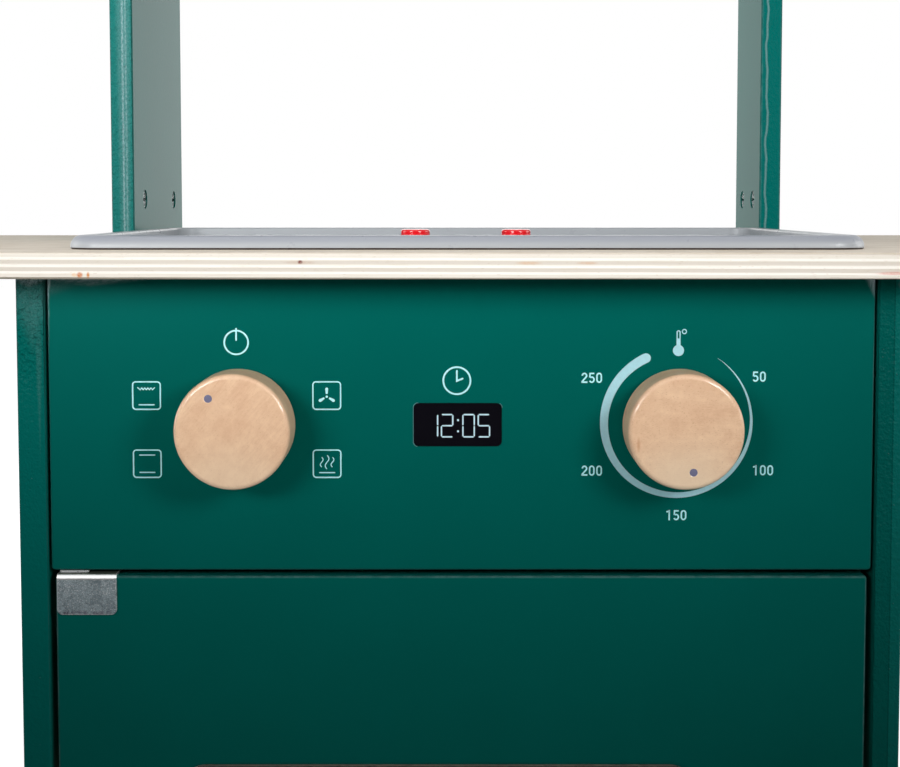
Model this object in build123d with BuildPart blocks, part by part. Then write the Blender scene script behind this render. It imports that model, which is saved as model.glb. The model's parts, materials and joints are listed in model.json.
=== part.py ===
import os
from math import cos, radians, sin, tan

from build123d import *

# Toy kitchen oven: a board cabinet with a hinged oven door, a control panel with two turning
# dials, a plywood worktop with a moulded play hob and two push buttons, and two posts that carry
# a shelf. X runs to the right, Y to the back and Z up. The floor is Z = 0. Sizes are millimetres.

# Cabinet
cabinet_width = 370.0
cabinet_depth = 300.0
worktop_height = 440.0
side_thickness = 12.0
shelf_thickness = 12.0  # base panel and oven ceiling
back_thickness = 4.0
back_recess = 2.0  # back edge of the sides to the back panel
plinth_height = 40.0
plinth_setback = 20.0
plinth_thickness = 12.0
rail_width = 45.0
rail_thickness = 12.0
batten_size = 12.0
batten_length = 90.0
painted_edge = 1.2  # rounding of the painted board edges
glide_radius = 5.0
glide_height = 3.0
glide_inset = 25.0
glide_pin_radius = 1.0
glide_pin_length = 10.0
glide_round = 1.0

# Worktop, posts and shelf
worktop_thickness = 10.5
front_overhang = 25.0
side_overhang = 105.0
worktop_corner = 6.0
worktop_edge = 0.8
post_thickness = 12.0
left_post_depth = 133.0
right_post_depth = 69.0
post_height = 200.0
top_shelf_thickness = 12.0
cam_height = 22.0  # cam centre from the end of its post
cam_inset = 27.0  # cam centre from the front or back edge of its post
right_cam_inset = 20.0
cam_radius = 5.15
cam_depth = 10.0
cam_recess = 0.6
cam_cross_width = 1.5
cam_cross_length = 7.2
cam_cross_depth = 1.4
cam_bolt_radius = 2.4
cam_bolt_waist = 1.5
cam_bolt_head = 1.0  # length of the head and of each cone beside the waist
cam_bolt_room = 0.5  # cam to the bolt's head, all round
cam_bolt_grip = 8.0  # length screwed into the worktop or shelf

# Control panel
panel_thickness = 12.0
control_height = 123.0
control_top_gap = 0.4
control_side_gap = 1.2
control_corner = 1.5
dial_spacing = 183.2
dial_shift = -1.0  # the dials sit a little left of the middle
dial_drop = 62.0  # worktop underside to the dials' axis
display_width = 36.7
display_height = 18.1
display_corner = 2.2
display_thickness = 1.2
display_recess = 1.0
display_shift = -1.5

# Dials and their hardware
dial_radius = 23.6
dial_thickness = 20.0
dial_round = 2.2
dial_back_chamfer = 0.6
pointer_offset = 16.5
pointer_radius = 1.8
pointer_depth = 0.5
left_pointer_angle = 34.0  # from straight up, anticlockwise
right_pointer_angle = -170.0
felt_radius = 9.0
felt_thickness = 0.5
insert_radius = 4.0
insert_length = 12.0
bush_radius = 5.0
bush_flange_radius = 8.5
bush_flange_thickness = 1.5
machine_screw_radius = 2.0
washer_radius = 7.0
washer_thickness = 1.0
spring_washer_radius = 3.8
spring_washer_thickness = 1.2
machine_screw_head = 3.7
machine_screw_rise = 2.4
screw_grip = 8.0  # engagement of a machine screw in its insert

# Door
door_thickness = 12.0
door_side_gap = 2.8
door_corner = 1.5
window_width = 220.0
window_height = 118.0
window_corner = 12.0
window_sill = 50.0  # door bottom to the window opening
window_shift = -10.0
pane_thickness = 2.0
pane_lap = 9.0
pane_rebate = 2.2
handle_inset = 30.0  # opening edge of the door to the middle of the handle
handle_length = 110.0
handle_width = 15.0
handle_thickness = 10.0
handle_round = 3.0
handle_standoff = 14.0
handle_pitch = 80.0
handle_blind = 3.0  # wood left in front of the handle screws
spacer_radius = 5.0
pane_screw_pitch = 70.0

# Pivot hinges and catch
plate_sheet = 0.85
plate_width = 12.3
plate_length = 46.0
plate_front_inset = 0.8
plate_corner = 1.5
plate_gap = 0.35  # control panel to the upper pivot plate
clip_sheet = 1.0
clip_width = 24.9
clip_height = 17.2
clip_corner = 2.3
clip_bend = 2.0
clip_inset = 0.9  # door edge to the clip
pivot_inset = 7.6  # door edge to the pivot axis
pivot_radius = 2.0
pivot_depth = 7.0  # pin length inside the door
plate_screw_inset = 7.0
plate_screw_pitch = 16.0
clip_screw_pitch = 14.0
clip_screw_drop = 9.0
catch_inset = 52.0  # opening edge of the door to the middle of the catch
catch_width = 26.0
catch_depth = 14.0
catch_height = 12.0
catch_ear = 9.0
catch_ear_thickness = 3.0
catch_ear_inset = 2.0  # block front and back to its ears
catch_round = 1.0
magnet_width = 18.0
magnet_height = 6.0
magnet_proud = 0.4
magnet_rise = 1.0  # catch underside to the magnet
strike_width = 24.0
strike_height = 18.0
strike_thickness = 1.2
strike_corner = 2.0
strike_drop = 2.0  # door top to the strike plate
strike_screw_rise = 4.0

# Oven rack
rack_height = 110.0  # base panel to the middle of the rods
rack_rail_width = 10.0
rack_rail_height = 14.0
rack_rail_chamfer = 1.0
rack_front_inset = 45.0
rack_back_inset = 20.0
rack_rod_radius = 4.0
rack_rod_seat = 6.0
rack_rod_count = 9
rack_end = 12.0  # end of a rack rail to its first rod
rack_screw_length = 17.0

# Hob
hob_width = 343.0
hob_depth = 216.0
hob_front_inset = 12.0  # control panel face to the hob's front edge
hob_shift = 2.7
hob_corner = 16.0
hob_rim_height = 6.0
hob_rim_width = 11.0
hob_rim_round = 4.8
hob_foot_chamfer = 0.6  # shadow line between the hob and the worktop
hob_floor = 2.0
hob_wall = 2.0
zone_radius = 33.0
zone_spacing = 196.0
zone_pitch = 98.0
zone_groove = 2.0
zone_groove_depth = 0.8
hob_cut_width = 150.0
hob_cut_depth = 100.0
housing_depth = 34.0  # worktop surface to the housing's underside
housing_wall = 2.0
housing_flange = 8.0
housing_corner = 4.0
housing_gap = 1.0  # housing to the edge of its cut-out
boss_radius = 4.2
boss_inset = 9.0
boss_joint = 12.6  # worktop surface to where the tray's bosses meet the housing's
board_width = 110.0
board_depth = 64.0
board_thickness = 1.6
board_corner = 2.0
board_drop = 13.0  # worktop surface to the top of the circuit board
pillar_radius = 2.5
pillar_inset = 4.0
cell_radius = 7.25
cell_length = 50.5
cell_pitch = 16.0
cell_room = 1.5
hatch_width = 64.0
hatch_depth = 40.0
hatch_lip = 3.0
hatch_lip_thickness = 1.2
hatch_rib = 2.0

# Push buttons
button_radius = 7.15
button_spacing = 49.4
button_setback = 110.0  # control panel face to the buttons
button_rise = 7.0  # button top above the worktop
button_travel = 1.5
button_crown = 6.2  # button top to the seat of its spring
button_round = 1.2
button_flange = 1.4
button_flange_thickness = 1.8
button_guide_gap = 0.35
button_guide_length = 6.0
button_wall = 1.6
spring_radius = 5.35
spring_wire = 0.7
spring_turns = 5.5
switch_width = 6.0
switch_height = 3.5
switch_plunger = 1.75

# Fasteners
countersink_angle = 82.0
wood_screw_radius = 1.75
wood_screw_head = 3.5
cabinet_screw_length = 30.0
rail_screw_length = 20.0
small_screw_radius = 1.4
small_screw_head = 2.9
small_screw_rise = 1.5
small_screw_length = 8.0
back_screw_length = 14.0
shelf_screw_inset = 45.0
batten_screw_pitch = 64.0
batten_side_pitch = 28.0
worktop_screw_pitch = 220.0
back_screw_pitch = 240.0

# Clearances
running_fit = 0.06  # radial, a pin that turns in its bore
screw_fit = 0.05  # radial, a screw in its hole
moving_gap = 0.3  # between pieces that move past each other
loose_fit = 0.4  # a piece dropped into its recess

# Places worked out from the sizes
front_y = (front_overhang - cabinet_depth) / 2
back_y = front_y + cabinet_depth
middle_y = (front_y + back_y) / 2
inner_width = cabinet_width - 2 * side_thickness
side_x = (cabinet_width - side_thickness) / 2
worktop_bottom = worktop_height - worktop_thickness
base_top = plinth_height + shelf_thickness
panel_back_y = front_y + panel_thickness
panel_rear_y = back_y - back_recess
inner_back_y = panel_rear_y - back_thickness
control_top = worktop_bottom - control_top_gap
control_bottom = control_top - control_height
control_width = inner_width - 2 * control_side_gap
ceiling_bottom = control_bottom - plate_gap
ceiling_top = ceiling_bottom + shelf_thickness
rail_bottom = worktop_bottom - rail_thickness
hinge_stack = plate_sheet + moving_gap + clip_sheet
door_top = ceiling_bottom - hinge_stack
door_bottom = base_top + hinge_stack
door_width = inner_width - 2 * door_side_gap
door_height = door_top - door_bottom
door_middle = (door_top + door_bottom) / 2
door_back_y = front_y + door_thickness
pivot_x = pivot_inset - door_width / 2
pivot_y = front_y + door_thickness / 2
dial_z = worktop_bottom - dial_drop
dial_places = [dial_shift - dial_spacing / 2, dial_shift + dial_spacing / 2]
hob_middle_y = front_y + hob_front_inset + hob_depth / 2
button_y = front_y + button_setback
button_places = [hob_shift - button_spacing / 2, hob_shift + button_spacing / 2]
post_bottom = worktop_height
post_top = post_bottom + post_height
handle_x = door_width / 2 - handle_inset
catch_x = door_width / 2 - catch_inset


def facing(direction, places):
    """Locations whose local Z axis points along direction."""
    return [Plane(origin=place, z_dir=direction).location for place in places]


def front_plane(y, x=0.0, z=0.0):
    """A plane that faces the front, with local X to the right and local Y up."""
    return Plane(origin=(x, y, z), x_dir=(1, 0, 0), z_dir=(0, -1, 0))


def front_edges(part):
    """The edges round the foremost face of a part."""
    return part.faces().sort_by(Axis.Y)[0].edges()


def countersunk_screw(length, radius, head):
    """A screw along -Z with its flat countersunk head at Z = 0."""
    cone = (head - radius) / tan(radians(countersink_angle / 2))
    with BuildPart() as screw:
        with BuildSketch(Plane.XZ):
            with BuildLine():
                Polyline(
                    (0, 0), (head, 0), (radius, -cone),
                    (radius, radius - length), (0, -length), close=True,
                )
            make_face()
        revolve(axis=Axis.Z)
    return screw.part


def pan_screw(length, radius, head, rise):
    """A screw along -Z with a domed head that stands on Z = 0."""
    shoulder = (head * cos(radians(45)), rise * sin(radians(45)))
    with BuildPart() as screw:
        with BuildSketch(Plane.XZ):
            with BuildLine():
                ThreePointArc((0, rise), shoulder, (head, 0))
                Polyline((head, 0), (radius, 0), (radius, radius - length), (0, -length), (0, rise))
            make_face()
        revolve(axis=Axis.Z)
    return screw.part


def group(piece, places):
    """Copies of one piece at several places, as one part of separate solids."""
    with BuildPart() as copies:
        with Locations(*places):
            add(piece)
    return copies.part


def save(part, name):
    part.label = name
    export_step(part, f"parts/{name}.step")


os.makedirs("parts", exist_ok=True)

# Screw places, shared by the screws and the holes they sit in
shelf_screw_y = [front_y + shelf_screw_inset, inner_back_y - shelf_screw_inset]
base_middle = plinth_height + shelf_thickness / 2
ceiling_middle = ceiling_bottom + shelf_thickness / 2
rail_middle = rail_bottom + rail_thickness / 2
front_rail_y = panel_back_y + rail_width / 2
back_rail_y = inner_back_y - rail_width / 2
plinth_y = front_y + plinth_setback + plinth_thickness / 2
side_screw_spots = [(y, z) for y in shelf_screw_y for z in (base_middle, ceiling_middle)]
side_screw_spots += [(front_rail_y, rail_middle), (back_rail_y, rail_middle)]
side_screw_spots += [(plinth_y, glide_height + (plinth_height - glide_height) / 2)]
outer_x = cabinet_width / 2
left_side_screws = facing((-1, 0, 0), [(-outer_x, y, z) for y, z in side_screw_spots])
right_side_screws = facing((1, 0, 0), [(outer_x, y, z) for y, z in side_screw_spots])
cabinet_screw_places = left_side_screws + right_side_screws

batten_x = inner_width / 2 - batten_size / 2
batten_y = panel_back_y + batten_size / 2
batten_middle = (ceiling_top + rail_bottom) / 2
batten_back_y = panel_back_y + batten_size
batten_face = inner_width / 2 - batten_size
batten_panel_z = [batten_middle + side * batten_screw_pitch / 2 for side in (-1, 1)]
batten_side_z = [batten_middle + side * batten_side_pitch / 2 for side in (-1, 1)]
batten_to_panel = facing(
    (0, 1, 0), [(x, batten_back_y, z) for x in (-batten_x, batten_x) for z in batten_panel_z]
)
batten_to_side = facing((1, 0, 0), [(-batten_face, batten_y, z) for z in batten_side_z])
batten_to_side += facing((-1, 0, 0), [(batten_face, batten_y, z) for z in batten_side_z])
worktop_screw_x = [side * worktop_screw_pitch / 2 for side in (-1, 1)]
worktop_screw_places = facing(
    (0, 0, -1), [(x, y, rail_bottom) for x in worktop_screw_x for y in (front_rail_y, back_rail_y)]
)
rail_screw_places = batten_to_panel + batten_to_side + worktop_screw_places
back_screw_x = [side * back_screw_pitch / 2 for side in (-1, 1)]
back_screw_z = [base_middle, ceiling_middle, rail_middle]
back_screw_places = facing((0, 1, 0), [(x, panel_rear_y, z) for x in back_screw_x for z in back_screw_z])
plate_back_y = front_y + plate_front_inset + plate_length
last_plate_screw_y = plate_back_y - plate_screw_inset
plate_screw_y = [last_plate_screw_y - plate_screw_pitch, last_plate_screw_y]
catch_front_y = door_back_y + strike_thickness + moving_gap + magnet_proud
catch_y = catch_front_y + catch_depth / 2
catch_screw_x = [catch_x + side * (catch_width + catch_ear) / 2 for side in (-1, 1)]
catch_face = ceiling_bottom - catch_ear_thickness
upper_plate_bottom = ceiling_bottom - plate_sheet
lower_plate_top = base_top + plate_sheet
small_ceiling_screws = facing((0, 0, -1), [(pivot_x, y, upper_plate_bottom) for y in plate_screw_y])
small_ceiling_screws += facing((0, 0, -1), [(x, catch_y, catch_face) for x in catch_screw_x])
small_base_screws = facing((0, 0, 1), [(pivot_x, y, lower_plate_top) for y in plate_screw_y])

rack_z = base_top + rack_height
rack_front_y = front_y + rack_front_inset
rack_back_y = inner_back_y - rack_back_inset
rack_pitch = (rack_back_y - rack_front_y - 2 * rack_end) / (rack_rod_count - 1)
rack_rod_y = [rack_front_y + rack_end + step * rack_pitch for step in range(rack_rod_count)]
rack_screw_y = [rack_rod_y[1] - rack_pitch / 2, rack_rod_y[-1] - rack_pitch / 2]
rack_face = inner_width / 2 - rack_rail_width
rack_screw_places = facing((1, 0, 0), [(-rack_face, y, rack_z) for y in rack_screw_y])
rack_screw_places += facing((-1, 0, 0), [(rack_face, y, rack_z) for y in rack_screw_y])

glide_y = [front_y + glide_inset, back_y - glide_inset]
glide_places = facing((0, 0, -1), [(x, y, glide_height) for x in (-side_x, side_x) for y in glide_y])

# Cam locks hold the posts to the worktop and to the shelf
left_cam_y = [back_y - left_post_depth + cam_inset, back_y - cam_inset]
right_cam_y = [back_y - right_post_depth + right_cam_inset, back_y - right_cam_inset]
left_post_face = side_thickness - outer_x + (post_thickness - side_thickness)
right_post_face = -left_post_face
low_cam = post_bottom + cam_height
high_cam = post_top - cam_height
left_cams = facing((1, 0, 0), [(left_post_face, y, z) for y in left_cam_y for z in (low_cam, high_cam)])
right_cams = facing((-1, 0, 0), [(right_post_face, y, z) for y in right_cam_y for z in (low_cam, high_cam)])
left_bolt_x = left_post_face - post_thickness / 2
right_bolt_x = right_post_face + post_thickness / 2
bolt_spots = [(left_bolt_x, y) for y in left_cam_y] + [(right_bolt_x, y) for y in right_cam_y]
low_bolts = facing((0, 0, 1), [(x, y, post_bottom) for x, y in bolt_spots])
high_bolts = facing((0, 0, -1), [(x, y, post_top) for x, y in bolt_spots])

# Left and right side panels: they stand on the glides and reach the worktop
for name, x, screws in (
    ("left_side_panel", -side_x, left_side_screws),
    ("right_side_panel", side_x, right_side_screws),
):
    with BuildPart() as side_panel:
        with BuildSketch(Plane.XY.offset(glide_height)):
            with Locations((x, middle_y)):
                Rectangle(side_thickness, cabinet_depth)
        extrude(amount=worktop_bottom - glide_height)
        side_panel_front = side_panel.edges().filter_by(Axis.Z).group_by(Axis.Y)[0]
        fillet(side_panel_front, painted_edge)
        with Locations(*screws):
            CounterSinkHole(
                wood_screw_radius + screw_fit, wood_screw_head + screw_fit,
                counter_sink_angle=countersink_angle,
            )
        with Locations(*batten_to_side):
            Hole(wood_screw_radius + screw_fit, rail_screw_length + screw_fit)
        with Locations(*rack_screw_places):
            Hole(small_screw_radius + screw_fit, rack_screw_length + screw_fit)
        with Locations(*glide_places):
            Hole(glide_pin_radius + screw_fit, glide_pin_length + screw_fit)
    save(side_panel.part, name)

# Base panel: its front edge is flush with the door
with BuildPart() as base_panel:
    with BuildSketch(Plane.XY.offset(plinth_height)):
        with Locations((0, (front_y + inner_back_y) / 2)):
            Rectangle(inner_width, inner_back_y - front_y)
    extrude(amount=shelf_thickness)
    fillet(base_panel.edges().filter_by(Axis.X).group_by(Axis.Y)[0], painted_edge)
    with Locations(*cabinet_screw_places):
        Hole(wood_screw_radius + screw_fit, cabinet_screw_length + screw_fit)
    with Locations(*back_screw_places):
        Hole(small_screw_radius + screw_fit, back_screw_length + screw_fit)
    with Locations(*small_base_screws):
        Hole(small_screw_radius + screw_fit, small_screw_length + screw_fit)
save(base_panel.part, "base_panel")

# Oven ceiling: it runs behind the control panel
with BuildPart() as oven_ceiling:
    with BuildSketch(Plane.XY.offset(ceiling_bottom)):
        with Locations((0, (panel_back_y + inner_back_y) / 2)):
            Rectangle(inner_width, inner_back_y - panel_back_y)
    extrude(amount=shelf_thickness)
    with Locations(*cabinet_screw_places):
        Hole(wood_screw_radius + screw_fit, cabinet_screw_length + screw_fit)
    with Locations(*back_screw_places):
        Hole(small_screw_radius + screw_fit, back_screw_length + screw_fit)
    with Locations(*small_ceiling_screws):
        Hole(small_screw_radius + screw_fit, small_screw_length + screw_fit)
save(oven_ceiling.part, "oven_ceiling")

# Plinth board
with BuildPart() as plinth_board:
    with BuildSketch(Plane.XY.offset(glide_height)):
        with Locations((0, plinth_y)):
            Rectangle(inner_width, plinth_thickness)
    extrude(amount=plinth_height - glide_height)
    with Locations(*cabinet_screw_places):
        Hole(wood_screw_radius + screw_fit, cabinet_screw_length + screw_fit)
save(plinth_board.part, "plinth_board")

# Back panel: between the side panels, on the back edges of the shelves
with BuildPart() as back_panel:
    with BuildSketch(Plane.XY.offset(plinth_height)):
        with Locations((0, panel_rear_y - back_thickness / 2)):
            Rectangle(inner_width, back_thickness)
    extrude(amount=worktop_bottom - plinth_height)
    with Locations(*back_screw_places):
        Hole(small_screw_radius + screw_fit)
save(back_panel.part, "back_panel")

# Rails under the worktop
for name, y in (("front_rail", front_rail_y), ("back_rail", back_rail_y)):
    with BuildPart() as rail:
        with BuildSketch(Plane.XY.offset(rail_bottom)):
            with Locations((0, y)):
                Rectangle(inner_width, rail_width)
        extrude(amount=rail_thickness)
        with Locations(*cabinet_screw_places):
            Hole(wood_screw_radius + screw_fit, cabinet_screw_length + screw_fit)
        with Locations(*worktop_screw_places):
            CounterSinkHole(
                wood_screw_radius + screw_fit, wood_screw_head + screw_fit,
                counter_sink_angle=countersink_angle,
            )
        with Locations(*back_screw_places):
            Hole(small_screw_radius + screw_fit, back_screw_length + screw_fit)
    save(rail.part, name)

# Corner battens that carry the control panel
with BuildPart() as panel_battens:
    with BuildSketch(Plane.XY.offset(batten_middle - batten_length / 2)):
        with Locations((-batten_x, batten_y), (batten_x, batten_y)):
            Rectangle(batten_size, batten_size)
    extrude(amount=batten_length)
    with Locations(*batten_to_panel, *batten_to_side):
        CounterSinkHole(
            wood_screw_radius + screw_fit, wood_screw_head + screw_fit,
            counter_sink_angle=countersink_angle,
        )
save(panel_battens.part, "panel_battens")

# Control panel: bores for the dial bushes and a shallow recess for the display
with BuildPart() as control_panel:
    with BuildSketch(front_plane(front_y, 0, (control_top + control_bottom) / 2)):
        RectangleRounded(control_width, control_height, control_corner)
    extrude(amount=-panel_thickness)
    fillet(front_edges(control_panel), painted_edge)
    with Locations([front_plane(front_y, x, dial_z).location for x in dial_places]):
        Hole(bush_radius)
    with BuildSketch(front_plane(front_y, display_shift, dial_z)):
        RectangleRounded(
            display_width + 2 * screw_fit, display_height + 2 * screw_fit, display_corner + screw_fit
        )
    extrude(amount=-display_recess, mode=Mode.SUBTRACT)
    with Locations(*batten_to_panel):
        Hole(wood_screw_radius + screw_fit, rail_screw_length + screw_fit)
save(control_panel.part, "control_panel")

# Display plate: it stands a little proud of its recess
with BuildPart() as display_plate:
    with BuildSketch(front_plane(front_y + display_recess, display_shift, dial_z)):
        RectangleRounded(display_width, display_height, display_corner)
    extrude(amount=display_thickness)
save(display_plate.part, "display_plate")

# Worktop: cut out for the hob housing, bored for the cam bolts
with BuildPart() as worktop:
    with BuildSketch(Plane.XY.offset(worktop_bottom)):
        with Locations((0, (front_y - front_overhang + back_y) / 2)):
            Rectangle(cabinet_width + 2 * side_overhang, cabinet_depth + front_overhang)
        with Locations((hob_shift, hob_middle_y)):
            Rectangle(hob_cut_width, hob_cut_depth, mode=Mode.SUBTRACT)
    extrude(amount=worktop_thickness)
    outer_corners = worktop.edges().filter_by(Axis.Z).group_by(Axis.Y)[0]
    fillet(outer_corners, worktop_corner)
    worktop_rim = worktop.faces().sort_by(Axis.Z)[-1].outer_wire().edges()
    worktop_rim += worktop.faces().sort_by(Axis.Z)[0].outer_wire().edges()
    fillet(worktop_rim, worktop_edge)
    with Locations(*worktop_screw_places):
        Hole(wood_screw_radius + screw_fit, rail_screw_length + screw_fit)
    with Locations(*low_bolts):
        Hole(cam_bolt_radius + screw_fit, cam_bolt_grip + screw_fit)
save(worktop.part, "worktop")

# Posts: each is bored for its cams and for the bolts that rise into them
for name, x, depth, cams in (
    ("left_post", left_bolt_x, left_post_depth, left_cams),
    ("right_post", right_bolt_x, right_post_depth, right_cams),
):
    with BuildPart() as post:
        with BuildSketch(Plane.XY.offset(post_bottom)):
            with Locations((x, back_y - depth / 2)):
                Rectangle(post_thickness, depth)
        extrude(amount=post_height)
        fillet(post.edges().filter_by(Axis.Z), painted_edge)
        with Locations(*cams):
            Hole(cam_radius + screw_fit, cam_depth)
        with Locations(*low_bolts, *high_bolts):
            Hole(cam_bolt_radius + 2 * screw_fit, cam_height)
    save(post.part, name)

# Top shelf, screwed down by the upper cam bolts
with BuildPart() as top_shelf:
    with BuildSketch(Plane.XY.offset(post_top)):
        with Locations((0, back_y - left_post_depth / 2)):
            RectangleRounded(cabinet_width, left_post_depth, painted_edge)
    extrude(amount=top_shelf_thickness)
    fillet(top_shelf.faces().sort_by(Axis.Z)[-1].edges(), painted_edge)
    with Locations(*high_bolts):
        Hole(cam_bolt_radius + screw_fit, cam_bolt_grip + screw_fit)
save(top_shelf.part, "top_shelf")

# One cam: a drum with a driver cross in its face and a mouth for the bolt's head
cam_thickness = cam_depth - cam_recess
with BuildPart() as cam:
    with BuildSketch(Plane.XY.offset(-cam_depth)):
        Circle(cam_radius)
    extrude(amount=cam_thickness)
    with BuildSketch(Plane.XY.offset(-cam_recess)):
        Rectangle(cam_cross_width, cam_cross_length)
        Rectangle(cam_cross_length, cam_cross_width)
    extrude(amount=-cam_cross_depth, mode=Mode.SUBTRACT)
    with BuildSketch(Plane.XY.offset(-post_thickness / 2)):
        SlotCenterToCenter(2 * cam_radius, 2 * (cam_bolt_radius + cam_bolt_room))
        SlotCenterToCenter(2 * cam_radius, 2 * (cam_bolt_radius + cam_bolt_room), rotation=90)
    extrude(amount=cam_bolt_radius + cam_bolt_room, both=True, mode=Mode.SUBTRACT)
save(group(cam.part, left_cams + right_cams), "cam_locks")

# One cam bolt: thread, shank, waist and the head that the cam draws in
waist_start = cam_height - cam_radius
head_start = cam_height - cam_bolt_head
with BuildPart() as cam_bolt:
    with BuildSketch(Plane.XZ):
        with BuildLine():
            Polyline(
                (0, -cam_bolt_grip), (cam_bolt_radius, -cam_bolt_grip), (cam_bolt_radius, waist_start),
                (cam_bolt_waist, waist_start + cam_bolt_head), (cam_bolt_waist, head_start - cam_bolt_head),
                (cam_bolt_radius, head_start), (cam_bolt_radius, cam_height), (0, cam_height), close=True,
            )
        make_face()
    revolve(axis=Axis.Z)
save(group(cam_bolt.part, low_bolts + high_bolts), "cam_bolts")

# Pivot plates: one under the oven ceiling, one on the base panel, each bored for a pivot pin
with BuildPart() as upper_plate:
    with BuildSketch(Plane.XY.offset(upper_plate_bottom)):
        with Locations((pivot_x, plate_back_y - plate_length / 2)):
            RectangleRounded(plate_width, plate_length, plate_corner)
        with Locations((pivot_x, pivot_y)):
            Circle(pivot_radius + running_fit, mode=Mode.SUBTRACT)
        with Locations(*[(pivot_x, y) for y in plate_screw_y]):
            Circle(small_screw_radius + screw_fit, mode=Mode.SUBTRACT)
    extrude(amount=plate_sheet)
door_mirror = Plane.XY.offset(door_middle)
with BuildPart() as pivot_plates:
    add(upper_plate.part)
    mirror(upper_plate.part, about=door_mirror)
save(pivot_plates.part, "pivot_plates")

# Magnetic catch: a block with two ears under the oven ceiling, the magnet in its front
catch_bottom = ceiling_bottom - catch_height
magnet_z = catch_bottom + magnet_rise + magnet_height / 2
with BuildPart() as catch_body:
    with BuildSketch(Plane.XY.offset(catch_bottom)):
        with Locations((catch_x, catch_y)):
            Rectangle(catch_width, catch_depth)
    extrude(amount=catch_height)
    fillet(catch_body.edges().filter_by(Axis.Z), catch_round)
    with BuildSketch(Plane.XY.offset(catch_face)):
        with Locations((catch_x, catch_y)):
            SlotOverall(catch_width + 2 * catch_ear, catch_depth - 2 * catch_ear_inset)
    extrude(amount=catch_ear_thickness)
    with Locations(*small_ceiling_screws):
        Hole(small_screw_radius + screw_fit, small_screw_length)
    with BuildSketch(front_plane(catch_front_y, catch_x, magnet_z)):
        Rectangle(magnet_width + 2 * screw_fit, magnet_height + 2 * screw_fit)
    extrude(amount=-catch_depth / 2, mode=Mode.SUBTRACT)
save(catch_body.part, "catch_body")

with BuildPart() as catch_magnet:
    with BuildSketch(front_plane(catch_front_y + catch_depth / 2, catch_x, magnet_z)):
        Rectangle(magnet_width, magnet_height)
    extrude(amount=catch_depth / 2 + magnet_proud)
save(catch_magnet.part, "catch_magnet")

# Oven rack: beech rods between two rails on the side panels
with BuildPart() as rack_rails:
    with BuildSketch(Plane.XY.offset(rack_z - rack_rail_height / 2)):
        for x in (-inner_width / 2 + rack_rail_width / 2, inner_width / 2 - rack_rail_width / 2):
            with Locations((x, (rack_front_y + rack_back_y) / 2)):
                Rectangle(rack_rail_width, rack_back_y - rack_front_y)
    extrude(amount=rack_rail_height)
    chamfer(rack_rails.edges().filter_by(Axis.Y), rack_rail_chamfer)
    with Locations(*[Location((0, y, rack_z)) for y in rack_rod_y]):
        Cylinder(
            rack_rod_radius + screw_fit, 2 * (rack_face + rack_rod_seat + screw_fit),
            rotation=(0, 90, 0), mode=Mode.SUBTRACT,
        )
    with Locations(*rack_screw_places):
        Hole(small_screw_radius + screw_fit, rack_screw_length)
save(rack_rails.part, "rack_rails")

with BuildPart() as rack_rods:
    with Locations(*[Location((0, y, rack_z)) for y in rack_rod_y]):
        Cylinder(rack_rod_radius, 2 * (rack_face + rack_rod_seat), rotation=(0, 90, 0))
save(rack_rods.part, "rack_rods")

# Door panel: window cut-out with a rebate for the pane behind it
window_x = window_shift
window_z = door_bottom + window_sill + window_height / 2
pane_width = window_width + 2 * pane_lap
pane_height = window_height + 2 * pane_lap
pane_back_y = door_back_y - pane_rebate + pane_thickness
clip_x = clip_inset - door_width / 2 + clip_width / 2
clip_screw_x = [clip_x + side * clip_screw_pitch / 2 for side in (-1, 1)]
clip_back_y = door_back_y + clip_sheet
clip_screw_z = [door_top - clip_screw_drop, door_bottom + clip_screw_drop]
strike_top = door_top - strike_drop
strike_screw_z = strike_top - strike_height + strike_screw_rise
pane_screw_x = (window_width + pane_lap) / 2
pane_screw_z = (window_height + pane_lap) / 2
pane_screw_spots = [(0, -pane_screw_z), (0, pane_screw_z)]
for x in (-pane_screw_x, pane_screw_x):
    pane_screw_spots += [(x, -pane_screw_pitch / 2), (x, pane_screw_pitch / 2)]
door_screw_places = facing((0, 1, 0), [(x, clip_back_y, z) for x in clip_screw_x for z in clip_screw_z])
door_screw_places += facing(
    (0, 1, 0), [(window_x + x, pane_back_y, window_z + z) for x, z in pane_screw_spots]
)
door_screw_places += facing((0, 1, 0), [(catch_x, door_back_y + strike_thickness, strike_screw_z)])
handle_spots = [(handle_x, window_z + side * handle_pitch / 2) for side in (-1, 1)]
handle_screw_places = facing((0, 1, 0), [(x, door_back_y, z) for x, z in handle_spots])
handle_face_y = front_y - handle_standoff
handle_screw_length = door_thickness + handle_standoff + handle_thickness - handle_blind

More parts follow.
